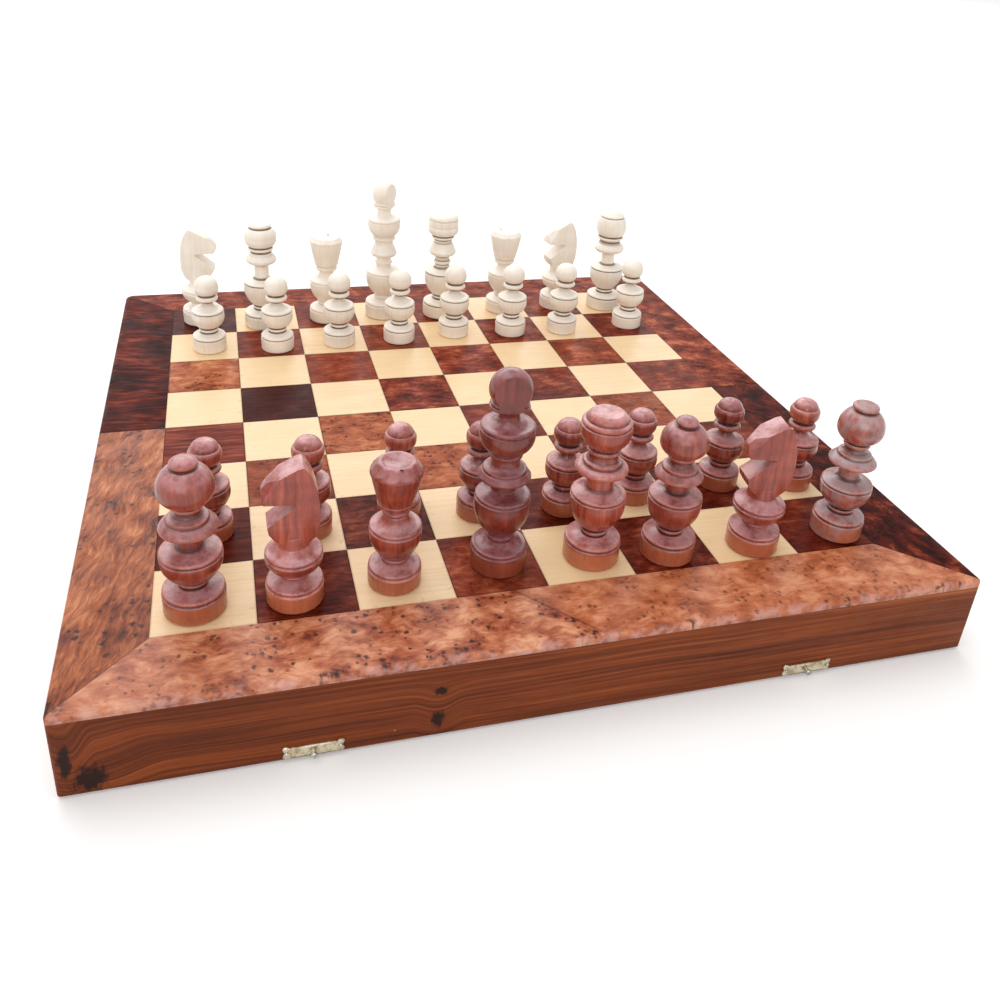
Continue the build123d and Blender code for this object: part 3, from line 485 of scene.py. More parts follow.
CREAM = [(0.0, lin(230, 216, 198)), (0.4, lin(243, 234, 220)), (0.7, lin(248, 241, 230)), (1.0, lin(252, 247, 239))]
# the tenth and eleventh arguments are the colour and strength of the painted sheen on upward faces
# the third and fourth arguments are the colour and strength of the painted shade in grooves and hollows
M_red = piece_material("red turned wood", RED, lin(52, 16, 14), 0.85, lin(80, 26, 20), 0.42, 0.24, 0.38, 0.30,
                       lin(230, 176, 180), 0.62, lin(206, 124, 84), 0.50, 0.50)
M_cream = piece_material("cream turned wood", CREAM, lin(120, 96, 74), 0.95, lin(206, 180, 150), 0.25, 0.36, 0.50, 0.05,
                         lin(252, 246, 240), 0.30, lin(244, 232, 216), 0.25, 0.40)
M_brass = metal_material("aged brass", lin(222, 212, 186), lin(172, 156, 120), 0.24, 0.40, 0.50)
M_steel = metal_material("bright steel", lin(206, 206, 200), lin(150, 148, 142), 0.20, 0.34, 0.3)


def dress(node, mat):
    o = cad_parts[node]
    o.data.materials.clear()
    o.data.materials.append(mat)


for h in ("near", "far"):
    dress(h + "_playing_panel", M_panel)
    dress(h + "_outer_wall", M_front if h == "near" else M_back)
    dress(h + "_left_wall", M_side)
    dress(h + "_right_wall", M_side)
    dress(h + "_seam_wall", M_seam)
    dress(h + "_hinge_leaves", M_brass)
    dress(h + "_hinge_screws", M_brass)
dress("hinge_pins", M_steel)
dress("left_hook", M_brass)
dress("right_hook", M_brass)


# ------------------------------------------------------------------ mesh helpers
def make(name, verts, faces, mat, body, slot, smooth=True):
    me = bpy.data.meshes.new(name)
    me.from_pydata(verts, [], faces)
    me.update()
    ob = bpy.data.objects.new(name, me)
    scene.collection.objects.link(ob)
    me.materials.append(mat)
    if smooth:
        me.polygons.foreach_set("use_smooth", [True] * len(me.polygons))
    return ob


def vec_attr(me, name, values, domain="POINT"):
    a = me.attributes.new(name, "FLOAT_VECTOR", domain)
    flat = [c for v in values for c in v]
    a.data.foreach_set("vector", flat)


def sharpen(me, deg):
    bm = bmesh.new()
    bm.from_mesh(me)
    lim = math.radians(deg)
    for e in bm.edges:
        e.smooth = not (len(e.link_faces) == 2 and e.calc_face_angle(0) > lim)
    for f in bm.faces:
        f.smooth = True
    bm.to_mesh(me)
    bm.free()


# ------------------------------------------------------------------ squares
rnd = random.Random(41)
# (tone, eyes, straight) of the burl squares that show a character of their own, by (column, row), both from 1
LOOKS = {(2, 1): (0.60, 0.0, 0.3), (4, 1): (0.15, 0.2, 0.1), (6, 1): (0.45, 0.0, 0.2), (8, 1): (0.55, 0.0, 0.4),
         (1, 2): (0.70, 0.0, 0.6), (3, 2): (0.60, 0.0, 0.1), (5, 2): (0.70, 0.0, 0.3), (7, 2): (0.70, 0.0, 0.4),
         (2, 3): (0.15, 0.35, 0.1), (4, 3): (0.0, 0.80, 0.0), (6, 3): (0.45, 0.0, 0.2), (8, 3): (0.3, 0.1, 0.2),
         (1, 4): (0.30, 0.0, 1.0), (3, 4): (0.0, 0.85, 0.0), (5, 4): (0.30, 0.0, 0.4), (7, 4): (0.1, 0.4, 0.1),
         (2, 5): (1.0, 0.0, 0.7), (4, 5): (0.20, 0.0, 0.0), (6, 5): (0.25, 0.0, 0.3), (8, 5): (0.2, 0.1, 0.2),
         (1, 6): (0.0, 1.0, 0.0), (3, 6): (0.05, 0.15, 0.4), (5, 6): (0.10, 0.0, 0.1), (7, 6): (0.0, 0.25, 0.0),
         (2, 7): (0.25, 0.1, 0.2), (4, 7): (0.15, 0.2, 0.1), (6, 7): (0.25, 0.0, 0.1), (8, 7): (0.3, 0.0, 0.2),
         (1, 8): (0.85, 0.0, 0.3), (3, 8): (0.2, 0.1, 0.3), (5, 8): (0.2, 0.0, 0.2), (7, 8): (0.3, 0.0, 0.2)}


def squares(h, light):
    verts, faces, cut, look, uv = [], [], [], [], []
    rows = range(0, 4) if h == "near" else range(4, 8)
    z1 = TOP
    z0 = TOP - 0.0012
    N = 6
    b = 0.00010
    for row in rows:
        for col in range(8):
            if ((row + col) % 2 == 0) != light:
                continue
            x0 = -F + col * SQ
            x1 = x0 + SQ
            y0 = -F + row * SQ
            y1 = y0 + SQ
            if row == 3:
                y1 = -0.0002
            if row == 4:
                y0 = 0.0002
            o = (rnd.uniform(-3, 3), rnd.uniform(-3, 3), rnd.uniform(-3, 3))
            lk = LOOKS.get((col + 1, row + 1), (rnd.uniform(0.0, 0.7), rnd.choice((0, 0, 0, 0.5, 0.8)), rnd.uniform(0, 0.8)))
            if light:
                lk = (rnd.uniform(0, 0.5), 0, 0)
            drop = rnd.uniform(0, 0.00004)
            base = len(verts)
            # top grid
            for j in range(N + 1):
                for i in range(N + 1):
                    x = x0 + b + (x1 - x0 - 2 * b) * i / N
                    y = y0 + b + (y1 - y0 - 2 * b) * j / N
                    verts.append((x, y, z1 - drop))
                    uv.append((i / N, j / N, 0))
            for j in range(N):
                for i in range(N):
                    a = base + j * (N + 1) + i
                    faces.append((a, a + 1, a + N + 2, a + N + 1))
            # bevel and sides
            def ring(inset, z):
                s = len(verts)
                pts = []
                for k in range(N):
                    pts.append((k / N, 0))
                for k in range(N):
                    pts.append((1, k / N))
                for k in range(N):
                    pts.append((1 - k / N, 1))
                for k in range(N):
                    pts.append((0, 1 - k / N))
                for u, v in pts:
                    verts.append((x0 + inset + (x1 - x0 - 2 * inset) * u, y0 + inset + (y1 - y0 - 2 * inset) * v, z))
                    uv.append((u, v, 0))
                return [s + k for k in range(4 * N)]
            top = [base + k for k in range(N)] + [base + k * (N + 1) + N for k in range(N)] + \
                  [base + N * (N + 1) + N - k for k in range(N)] + [base + (N - k) * (N + 1) for k in range(N)]
            r1 = ring(0.0, z1 - b - drop)
            r2 = ring(0.0, z0)
            m = 4 * N
            for k in range(m):
                faces.append((top[k], r1[k], r1[(k + 1) % m], top[(k + 1) % m]))
                faces.append((r1[k], r2[k], r2[(k + 1) % m], r1[(k + 1) % m]))
            faces.append(tuple(reversed(r2)))
            nv = len(verts) - base
            cut += [o] * nv
            look += [lk] * nv
    kind = "light" if light else "dark"
    ob = make("%s_%s_inlay" % (h, kind), verts, faces, M_light if light else M_dark, None, None)
    vec_attr(ob.data, "cut", cut)
    vec_attr(ob.data, "look", look)
    vec_attr(ob.data, "uvq", uv)
    sharpen(ob.data, 30)
    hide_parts("%s_%s_squares" % (h, kind))
    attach(ob, h + "_half")
    return ob


for h in ("near", "far"):
    squares(h, True)
    squares(h, False)


# ------------------------------------------------------------------ border strips
def strip(name, node, body, mat, loop, outer_edges, z0=TOP - 0.004, er=0.0016):
    """One mitred strip: plan loop (metres, counter-clockwise), its outer edges rolled over to the wall face.

    outer_edges lists the loop edges (by their first corner) that lie on the outside of the board.
    """
    n = len(loop)
    steps = 6
    verts, faces = [], []
    # inward normal of every outer edge
    def inward(i):
        a, b = loop[i], loop[(i + 1) % n]
        dx, dy = b[0] - a[0], b[1] - a[1]
        ln = math.hypot(dx, dy)
        return (-dy / ln, dx / ln)
    def ring(inset, z):
        base = len(verts)
        for i in range(n):
            prev = (i - 1) % n
            x, y = loop[i]
            nrm = [inward(e) for e in (prev, i) if e in outer_edges]
            if len(nrm) == 2:
                den = 1 + nrm[0][0] * nrm[1][0] + nrm[0][1] * nrm[1][1]
                x += inset * (nrm[0][0] + nrm[1][0]) / den
                y += inset * (nrm[0][1] + nrm[1][1]) / den
            elif len(nrm) == 1:
                # slide along the edge that isn't rolled, so mitres and joints stay closed
                other = i if prev in outer_edges else prev
                a, b = loop[other], loop[(other + 1) % n]
                dx, dy = b[0] - a[0], b[1] - a[1]
                d = dx * nrm[0][0] + dy * nrm[0][1]
                if abs(d) > 1e-9:
                    x += inset * dx / d
                    y += inset * dy / d
            verts.append((x, y, z))
        return [base + i for i in range(n)]
    rings = [ring(0, z0), ring(0, TOP - er)]
    for k in range(1, steps + 1):
        t = math.pi / 2 * k / steps
        rings.append(ring(er * (1 - math.cos(t)), TOP - er + er * math.sin(t)))
    for a, b in zip(rings, rings[1:]):
        for i in range(n):
            faces.append((a[i], a[(i + 1) % n], b[(i + 1) % n], b[i]))
    faces.append(tuple(rings[-1]))
    faces.append(tuple(reversed(rings[0])))
    ob = make(name, verts, faces, mat, body, "burl_border")
    sharpen(ob.data, 40)
    if node:
        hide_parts(node)
    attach(ob, body)
    return ob


def corner(cx, cy, r, a0, a1, k=8):
    """Points of a rounded corner, centre (cx, cy), from angle a0 to a1 in degrees."""
    return [(cx + r * math.cos(math.radians(a0 + (a1 - a0) * i / k)),
             cy + r * math.sin(math.radians(a0 + (a1 - a0) * i / k))) for i in range(k + 1)]


NR, FR, SS = 0.0015, 0.006, 0.0002
hn = NR * (1 - math.cos(math.radians(45)))
hf = FR * (1 - math.cos(math.radians(45)))
bl = corner(-H + NR, -H + NR, NR, 225, 270, 4)
lp = bl + corner(H - NR, -H + NR, NR, 270, 315, 4) + [(F, -F), (-F, -F)]
strip("near_strip", "near_border_strips", "near_half", M_near_strip, lp, set(range(len(lp) - 3)))
bl = corner(-H + NR, -H + NR, NR, 180, 225, 4)
lp = [(-F, -F), (-F, -SS), (-H, -SS)] + bl
strip("left_near_strip", None, "near_half", M_left_near, lp, set(range(2, len(lp) - 1)))
br = corner(H - NR, -H + NR, NR, 315, 360, 4)
lp = br + [(H, -SS), (F, -SS), (F, -F)]
strip("right_near_strip", None, "near_half", M_right_near, lp, set(range(0, len(br))))
tl = corner(-H + FR, H - FR, FR, 135, 180)
lp = tl + [(-H, SS), (-F, SS), (-F, F)]
strip("left_far_strip", None, "far_half", M_left_far, lp, set(range(0, len(tl))))
tr = corner(H - FR, H - FR, FR, 0, 45)
lp = [(F, F), (F, SS), (H, SS)] + tr
strip("right_far_strip", None, "far_half", M_right_far, lp, set(range(2, len(lp) - 1)))
tp = corner(H - FR, H - FR, FR, 45, 90) + corner(-H + FR, H - FR, FR, 90, 135)
lp = tp + [(-F, F), (F, F)]
strip("far_strip", "far_border_strips", "far_half", M_far_strip, lp, set(range(0, len(tp) - 1)))

# ------------------------------------------------------------------ turned pieces
def L(r, z):
    return ("l", (r, z))


def A(rm, zm, r, z):
    return ("a", (rm, zm), (r, z))


def arc_points(p0, p1, p2, step):
    ax, ay = p0; bx, by = p1; cx, cy = p2
    d = 2 * (ax * (by - cy) + bx * (cy - ay) + cx * (ay - by))
    if abs(d) < 1e-9:
        return [p1, p2]
    ux = ((ax * ax + ay * ay) * (by - cy) + (bx * bx + by * by) * (cy - ay) + (cx * cx + cy * cy) * (ay - by)) / d
    uy = ((ax * ax + ay * ay) * (cx - bx) + (bx * bx + by * by) * (ax - cx) + (cx * cx + cy * cy) * (bx - ax)) / d
    r = math.hypot(ax - ux, ay - uy)
    a0 = math.atan2(ay - uy, ax - ux)
    a1 = math.atan2(by - uy, bx - ux)
    a2 = math.atan2(cy - uy, cx - ux)
    ccw = (a1 - a0) % (2 * math.pi) < (a2 - a0) % (2 * math.pi)
    sweep = (a2 - a0) % (2 * math.pi) if ccw else -((a0 - a2) % (2 * math.pi))
    k = max(3, int(abs(sweep) * r / step) + 1)
    return [(ux + r * math.cos(a0 + sweep * i / k), uy + r * math.sin(a0 + sweep * i / k)) for i in range(1, k + 1)]


def sample(items, step=0.55):
    """Profile items to dense points, with every corner eased by a small radius."""
    raw = [items[0]]
    for it in items[1:]:
        if it[0] == "l":
            raw.append(it[1])
        else:
            raw += arc_points(raw[-1], it[1], it[2], step)
    out = [raw[0]]
    for i in range(1, len(raw) - 1):
        p, q, s = raw[i - 1], raw[i], raw[i + 1]
        a = (p[0] - q[0], p[1] - q[1])
        b = (s[0] - q[0], s[1] - q[1])
        la = math.hypot(*a)
        lb = math.hypot(*b)
        if la < 1e-6 or lb < 1e-6:
            continue
        cosv = -(a[0] * b[0] + a[1] * b[1]) / (la * lb)
        if cosv < 0.94:
            e = min(0.16, la * 0.4, lb * 0.4)
            pa = (q[0] + a[0] / la * e, q[1] + a[1] / la * e)
            pb = (q[0] + b[0] / lb * e, q[1] + b[1] / lb * e)
            out.append(pa)
            out.append(((pa[0] + pb[0] + 2 * q[0]) / 4, (pa[1] + pb[1] + 2 * q[1]) / 4))
            out.append(pb)
        else:
            out.append(q)
    out.append(raw[-1])
    dense = [out[0]]
    for q in out[1:]:
        p = dense[-1]
        d = math.hypot(q[0] - p[0], q[1] - p[1])
        k = max(1, int(d / 1.1))
        for i in range(1, k + 1):
            dense.append((p[0] + (q[0] - p[0]) * i / k, p[1] + (q[1] - p[1]) * i / k))
    return dense


def cavities(pts):
    """How hollow (first) or crested (second) each profile point is, looking 1.2 mm each way."""
    out = []
    for i, (r, z) in enumerate(pts):
        a = b = None
        j = i
        while j > 0 and a is None:
            j -= 1
            if math.hypot(pts[j][0] - r, pts[j][1] - z) > 1.2:
                a = pts[j]
        j = i
        while j < len(pts) - 1 and b is None:
            j += 1
            if math.hypot(pts[j][0] - r, pts[j][1] - z) > 1.2:
                b = pts[j]
        if a is None or b is None:
            out.append((0.0, 0.0, 0.0))
            continue
        cross = (r - a[0]) * (b[1] - z) - (z - a[1]) * (b[0] - r)
        s = cross / (math.hypot(r - a[0], z - a[1]) * math.hypot(b[0] - r, b[1] - z))
        hollow = min(1.0, max(0.0, (-s - 0.25) / 0.55))
        crest = min(1.0, max(0.0, (s - 0.35) / 0.6))
        out.append((hollow, crest, 0.0))
    return out


def lathe(items, seg=112, seed=0):
    """Revolve a profile in millimetres; returns verts (metres, axis at origin), faces, cavity per vertex."""
    pts = sample(items)
    cav = cavities(pts)
    rr = random.Random(seed)
    ph = [rr.uniform(0, 6.28) for _ in range(3)]
    verts, faces, cv = [], [], []
    rings = []
    for (r, z), c in zip(pts, cav):
        if r < 1e-6:
            rings.append([len(verts)])
            verts.append((0, 0, z * MM))
            cv.append(c)
            continue
        s = len(verts)
        for k in range(seg):
            t = 2 * math.pi * k / seg
            w = 1 + 0.0030 * math.sin(2 * t + ph[0] + z * 0.02) + 0.0014 * math.sin(3 * t + ph[1] + z * 0.11)
            verts.append((r * w * math.cos(t) * MM, r * w * math.sin(t) * MM, z * MM))
            cv.append(c)
        rings.append([s + k for k in range(seg)])
    for a, b in zip(rings, rings[1:]):
        if len(a) == 1 and len(b) == 1:
            continue
        for k in range(seg):
            k2 = (k + 1) % seg
            if len(a) == 1:
                faces.append((a[0], b[k2], b[k]))
            elif len(b) == 1:
                faces.append((a[k], a[k2], b[0]))
            else:
                faces.append((a[k], a[k2], b[k2], b[k]))
    return verts, faces, cv


def foot(R, hg, hn):
    """Drum base, groove, shallow dished top and a neck bead at height hn."""
    return [(0, 0), L(R - 1.3, 0), A(R - 0.35, 0.45, R - 0.1, 1.6), L(R, hg - 0.7),
            L(R - 0.85, hg - 0.2), L(R - 0.85, hg + 0.1), L(R - 0.25, hg + 0.55),
            A(R - 0.35, hg + 1.3, R - 1.2, hg + 1.8), A((R + 5.8) / 2, hg + 2.2, 6.0, hn - 1.7),
            L(5.1, hn - 1.5), L(5.1, hn - 1.0), L(5.9, hn - 0.8), A(6.5, hn, 5.9, hn + 0.8)]


def bowl(R, z0, zg, rn, zn):
    """Round bowl with a groove under its rim and a nearly flat top that sweeps up to a neck."""
    return [L(5.2, z0 - 0.4), L(5.5, z0), A(R - 1.9, z0 + (zg - z0) * 0.34, R - 0.1, zg - 1.7),
            L(R, zg - 0.6), L(R - 0.85, zg - 0.15), L(R - 0.85, zg + 0.15), L(R - 0.15, zg + 0.55),
            A(R - 0.3, zg + 1.2, R - 1.1, zg + 1.65), A((R + rn) / 2 - 0.7, zg + 2.3, rn, zn)]


def flange(rn, Rf, zl, rs, zs, rc, zc):
    """Disc with a thin lower edge, a stepped smaller disc on it, a dished top and a collar."""
    return [L(rn, zl - 2.4), A(rn + 0.5, zl - 1.5, rn + 1.6, zl - 1.1), L(Rf - 1.2, zl - 0.5),
            A(Rf - 0.1, zl - 0.1, Rf - 0.1, zl + 0.9), A(Rf - 1.1, zl + 2.2, rs + 0.7, zs - 0.8),
            L(rs + 0.2, zs - 0.6), L(rs + 0.2, zs + 0.1), A(rs, zs + 0.7, rs - 0.7, zs + 0.9),
            A((rs + rc) / 2 - 0.6, zs + 1.2, rc - 0.9, zs + 2.6), L(rc - 0.9, zc - 1.3),
            L(rc - 0.2, zc - 1.0), A(rc + 0.2, zc - 0.1, rc - 0.2, zc + 0.8), L(rc - 0.9, zc + 1.0),
            L(rc - 0.9, zc + 1.4)]


def spindle(rn, zb, Rf, zl, zw, ru, zu, rc, zc):
    """Slim neck with an optional bead at zb, then a spindle ring rising to a collar."""
    bead = [L(rn, zb - 1.2), L(rn + 0.7, zb - 0.9), A(rn + 1.1, zb, rn + 0.7, zb + 0.9),
            L(rn, zb + 1.2)] if zb else []
    return bead + [L(rn, zl - 1.6), A(rn + 0.4, zl - 0.9, rn + 1.3, zl - 0.6), A(Rf - 0.6, zl + 0.5, Rf, zw),
                   A(Rf - 0.6, zw + 1.3, ru + 0.9, zu - 1.4), L(ru + 0.2, zu), L(ru - 0.4, zu + 0.3),
                   L(rc - 1.5, zc - 1.5), L(rc - 0.3, zc - 1.0), A(rc + 0.1, zc - 0.1, rc - 0.3, zc + 0.7),
                   L(rc - 1.2, zc + 0.9), L(rc - 1.2, zc + 1.3)]


def pawn_profile(capped):
    R = 10.5
    p = [(0, 0), L(R - 1.1, 0), A(R - 0.3, 0.4, R - 0.1, 1.4), L(R, 8.0),
         L(R - 0.75, 8.45), L(R - 0.75, 8.7), L(R - 0.15, 9.1), A(R - 0.3, 10.0, R - 1.2, 10.6),
         A(7.6, 11.1, 5.6, 12.2), L(4.9, 12.4), L(4.9, 12.9), L(5.6, 13.1), A(6.1, 14.0, 5.6, 14.8),
         L(4.9, 15.0), L(5.1, 15.5), A(8.8, 18.4, 10.0, 24.4), L(10.0, 25.6), L(9.25, 26.0),
         L(9.25, 26.25), L(9.85, 26.65), A(9.7, 27.5, 8.9, 28.0), A(6.0, 28.7, 4.0, 30.6),
         A(3.5, 31.9, 3.6, 33.5), L(5.4, 34.0), A(6.8, 34.9, 6.6, 36.0), L(5.6, 36.9), L(4.6, 37.2),
         L(4.7, 37.7)]
    if capped:
        return p + [A(6.9, 39.6, 7.45, 42.4), A(7.3, 44.3, 6.7, 45.3), L(6.2, 45.5), L(6.25, 45.8),
                    A(4.2, 48.8, 0.6, 49.6), L(0, 49.6)]
    return p + [A(7.0, 39.8, 7.4, 43.0), A(5.9, 47.2, 0.6, 49.6), L(0, 49.6)]


def red_rook_profile(R, flat_button):
    k = R / 12.8
    p = foot(R, 9.4, 14.5) + bowl(R - 0.1, 15.7, 27.8, 5.0, 31.6)
    p += flange(5.0, 11.7 * k, 40.0, 8.1 * k, 44.4, 5.9, 49.8)
    p += [A(10.0 * k, 54.2, 11.2 * k, 58.8), A(9.7 * k, 63.9, 5.6, 67.4)]
    if flat_button:
        return p + [L(5.2, 67.6), L(5.3, 67.9), A(6.0, 68.9, 5.5, 70.0), L(4.6, 70.4), L(0, 70.6)]
    return p + [L(5.0, 67.6), L(5.1, 68.0), A(5.6, 69.1, 5.0, 70.1), A(3.1, 71.4, 0.6, 71.8), L(0, 71.8)]


def third_bulb_profile():
    return foot(12.5, 9.4, 14.6) + bowl(12.3, 15.8, 31.4, 5.0, 34.9) + \
        flange(5.0, 10.9, 42.4, 7.9, 46.6, 6.0, 52.2) + \
        [A(9.7, 56.0, 10.5, 60.4), A(9.0, 65.0, 4.9, 67.9), L(4.5, 68.1), L(4.6, 68.5),
         A(5.1, 69.4, 4.6, 70.3), A(2.9, 71.5, 0.6, 71.9), L(0, 71.9)]


def white_rook_profile(domed):
    R = 12.6
    p = foot(R, 8.8, 13.7) + bowl(R - 0.4, 14.9, 30.8, 4.8, 34.2)
    if domed:
        return p + spindle(4.7, 0, 10.9, 44.6, 46.6, 7.2, 51.4, 9.4, 54.7) + \
            [L(8.6, 56.2), A(10.3, 59.0, 10.8, 62.4), A(10.2, 67.0, 8.9, 69.8), L(8.2, 70.0),
             L(8.2, 70.3), A(8.4, 71.2, 7.8, 71.9), A(4.6, 73.8, 0.6, 74.2), L(0, 74.2)]
    return p + spindle(4.7, 0, 10.2, 45.6, 47.6, 7.0, 52.2, 8.2, 55.2) + \
        [L(7.4, 56.8), A(9.7, 58.8, 10.4, 62.6), A(9.9, 66.6, 7.4, 69.2), L(6.7, 69.4), L(6.7, 69.7),
         A(7.3, 70.8, 6.7, 72.0), L(5.9, 72.5), L(0, 72.7)]


def red_queen_profile():
    return foot(12.9, 10.0, 15.6) + bowl(12.5, 16.9, 34.0, 6.0, 38.2) + \
        flange(6.0, 11.9, 47.4, 8.3, 51.2, 7.4, 57.2) + \
        [A(10.2, 62.6, 11.2, 68.6), L(11.2, 69.2), L(10.5, 69.6), L(10.5, 69.8), L(11.0, 70.2),
         A(10.8, 71.2, 9.8, 72.0), L(9.2, 72.1), A(8.6, 73.8, 7.4, 75.0), L(6.8, 75.4), L(0, 75.4)]


def white_queen_profile():
    return foot(12.6, 9.4, 14.5) + bowl(12.2, 15.7, 32.7, 5.1, 36.4) + \
        spindle(5.0, 40.4, 9.5, 46.2, 48.6, 6.6, 54.4, 7.9, 58.9) + \
        [A(9.7, 61.6, 10.3, 66.5), L(10.5, 71.0), L(9.9, 71.3), L(9.9, 71.5), L(10.3, 71.9),
         A(10.0, 73.3, 8.8, 74.5), L(7.4, 75.3), L(0, 75.4)]


def king_top(R, zc, rb):
    """Cup, slim neck, two beads and the flattened ball."""
    zb = 97.48 - math.sqrt(rb * rb - 0.36)
    r0 = math.sqrt(rb * rb - (zb - 82.96) ** 2)
    return [A(R - 1.0, zc + 5.2, R, zc + 11.0), L(R, zc + 12.0), L(R - 0.6, zc + 12.3),
            L(R - 0.6, zc + 12.5), L(R - 0.05, zc + 12.9), A(R - 0.1, zc + 14.0, R - 1.0, zc + 14.6),
            A(7.4, zc + 14.9, 5.2, zc + 16.3), A(4.5, zc + 18.6, 5.6, zc + 21.6),
            L(rb - 1.5, zc + 22.1), L(rb - 0.7, zc + 22.4), L(rb - 0.4, zc + 22.9), L(rb - 0.5, zc + 23.35),
            L(rb - 0.9, zc + 23.65), L(rb - 2.0, zc + 23.9), L(rb - 2.0, zc + 24.1), L(rb - 1.0, zc + 24.3),
            L(rb - 0.8, zc + 24.65), L(rb - 1.1, zc + 25.0), L(rb - 1.6, zc + 25.2),
            L(r0, 82.96), A(rb, zb, 0.6, 97.48), L(0, 97.48)]


def red_king_profile():
    return foot(12.7, 10.0, 16.2) + bowl(12.4, 17.6, 36.2, 5.4, 40.0) + \
        flange(5.4, 11.6, 46.6, 9.4, 50.2, 7.1, 57.6) + king_top(11.8, 57.6, 9.2)


def white_king_profile():
    return foot(12.6, 9.6, 14.8) + bowl(12.2, 16.1, 32.6, 5.1, 36.3) + \
        spindle(5.0, 40.0, 9.2, 45.2, 47.2, 6.6, 53.0, 7.8, 57.6) + king_top(11.1, 57.6, 8.7)


def red_goblet_profile():
    R = 11.7
    return foot(R, 8.0, 13.2) + bowl(R - 0.3, 14.4, 28.4, 5.4, 34.6) + [
        L(5.0, 35.2), L(5.0, 35.5), L(5.6, 35.7), A(6.0, 36.6, 5.6, 37.4), L(4.9, 37.6), L(4.9, 38.2),
        L(5.8, 38.5), A(6.9, 39.4, 7.4, 41.0), L(7.1, 41.3), L(7.6, 41.7), A(9.2, 47.6, 10.7, 54.4),
        A(11.2, 55.6, 10.9, 56.9), A(10.2, 58.9, 8.6, 60.0), A(7.2, 60.6, 5.6, 60.1),
        A(3.0, 59.3, 0.6, 59.1), L(0, 59.1)]


def white_goblet_profile():
    R = 11.8
    return foot(R, 8.0, 13.2) + bowl(R - 0.4, 14.4, 28.6, 5.2, 33.6) + [
        L(4.9, 34.4), L(4.9, 36.4), L(5.4, 36.7), L(6.7, 37.0), A(7.2, 37.9, 6.8, 38.9), L(6.0, 39.2),
        L(6.0, 39.5), L(6.8, 39.9), A(7.6, 40.6, 8.0, 42.4), A(9.7, 49.6, 11.0, 57.2),
        A(11.1, 58.3, 10.4, 59.2), A(9.6, 60.2, 8.4, 60.2), A(4.6, 59.2, 0.6, 59.0), L(0, 59.0)]


def knight_profile():
    R = 12.1
    return foot(R, 8.9, 13.6) + [
        L(5.0, 14.5), L(5.4, 15.0), A(R - 2.2, 17.4, R - 0.1, 21.6), L(R - 0.1, 22.4), L(R - 0.9, 22.8),
        L(R - 0.9, 23.1), L(R - 0.2, 23.5), A(R - 0.35, 24.3, R - 1.2, 24.9), A(9.0, 25.8, 6.6, 28.2),
        L(6.2, 33.5), L(0, 33.5)]


KNIGHT_SIDE = [(4.4, 66.3), (6.2, 64.4), (8.2, 60.2), (9.9, 54.2), (10.6, 46.5), (10.3, 39.0),
               (8.4, 33.4), (4.8, 30.2), (0.6, 29.3), (-3.8, 30.4), (-7.6, 33.2), (-9.9, 36.6),
               (-10.5, 39.8), (0.9, 48.5), (1.3, 49.1), (0.6, 49.6), (-5.0, 50.1), (-11.6, 50.7),
               (-12.0, 51.5), (-12.0, 56.2), (-9.6, 59.2), (-4.7, 62.1), (2.2, 65.8)]
KNIGHT_T = 5.7           # half thickness of the head
MUZZLE_AT = (-4.7, 5.7, 62.0)          # a point on the muzzle facet, for the side y > 0
MUZZLE_N = (-0.675, 0.588, 0.447)      # its outward normal
CROWN_FACETS = 9
CROWN_TILT = 40.0        # facet normal above the horizontal, degrees
RED_CROWN_D = 44.8       # facet plane's distance from the origin along its normal
WHITE_CROWN_D = 45.5


def boolean(ob, cutter, op="DIFFERENCE"):
    m = ob.modifiers.new("b", "BOOLEAN")
    m.operation = op
    m.solver = "EXACT"
    m.object = cutter
    dg = bpy.context.evaluated_depsgraph_get()
    me = bpy.data.meshes.new_from_object(ob.evaluated_get(dg))
    ob.modifiers.clear()
    old = ob.data
    ob.data = me
    bpy.data.meshes.remove(old)
    cm = cutter.data
    bpy.data.objects.remove(cutter)
    bpy.data.meshes.remove(cm)


def temp(verts, faces, name="t"):
    me = bpy.data.meshes.new(name)
    me.from_pydata(verts, [], faces)
    me.update()
    ob = bpy.data.objects.new(name, me)
    scene.collection.objects.link(ob)
    return ob


def temp_box(cx, cy, cz, sx, sy, sz, rot=None):
    bm = bmesh.new()
    bmesh.ops.create_cube(bm, size=1.0)
    bmesh.ops.scale(bm, vec=(sx * MM, sy * MM, sz * MM), verts=bm.verts)
    if rot is not None:
        bmesh.ops.transform(bm, matrix=rot.to_4x4(), verts=bm.verts)
    bmesh.ops.translate(bm, vec=(cx * MM, cy * MM, cz * MM), verts=bm.verts)
    me = bpy.data.meshes.new("c")
    bm.to_mesh(me)
    bm.free()
    ob = bpy.data.objects.new("c", me)
    scene.collection.objects.link(ob)
    return ob


def soften(ob, width, deg=38, seg=2):
    """Round the sharp edges that carving leaves."""
    m = ob.modifiers.new("bev", "BEVEL")
    m.width = width * MM
    m.segments = seg
    m.limit_method = "ANGLE"
    m.angle_limit = math.radians(deg)
    m.harden_normals = False
    dg = bpy.context.evaluated_depsgraph_get()
    me = bpy.data.meshes.new_from_object(ob.evaluated_get(dg))
    ob.modifiers.clear()
    old = ob.data
    ob.data = me
    bpy.data.meshes.remove(old)


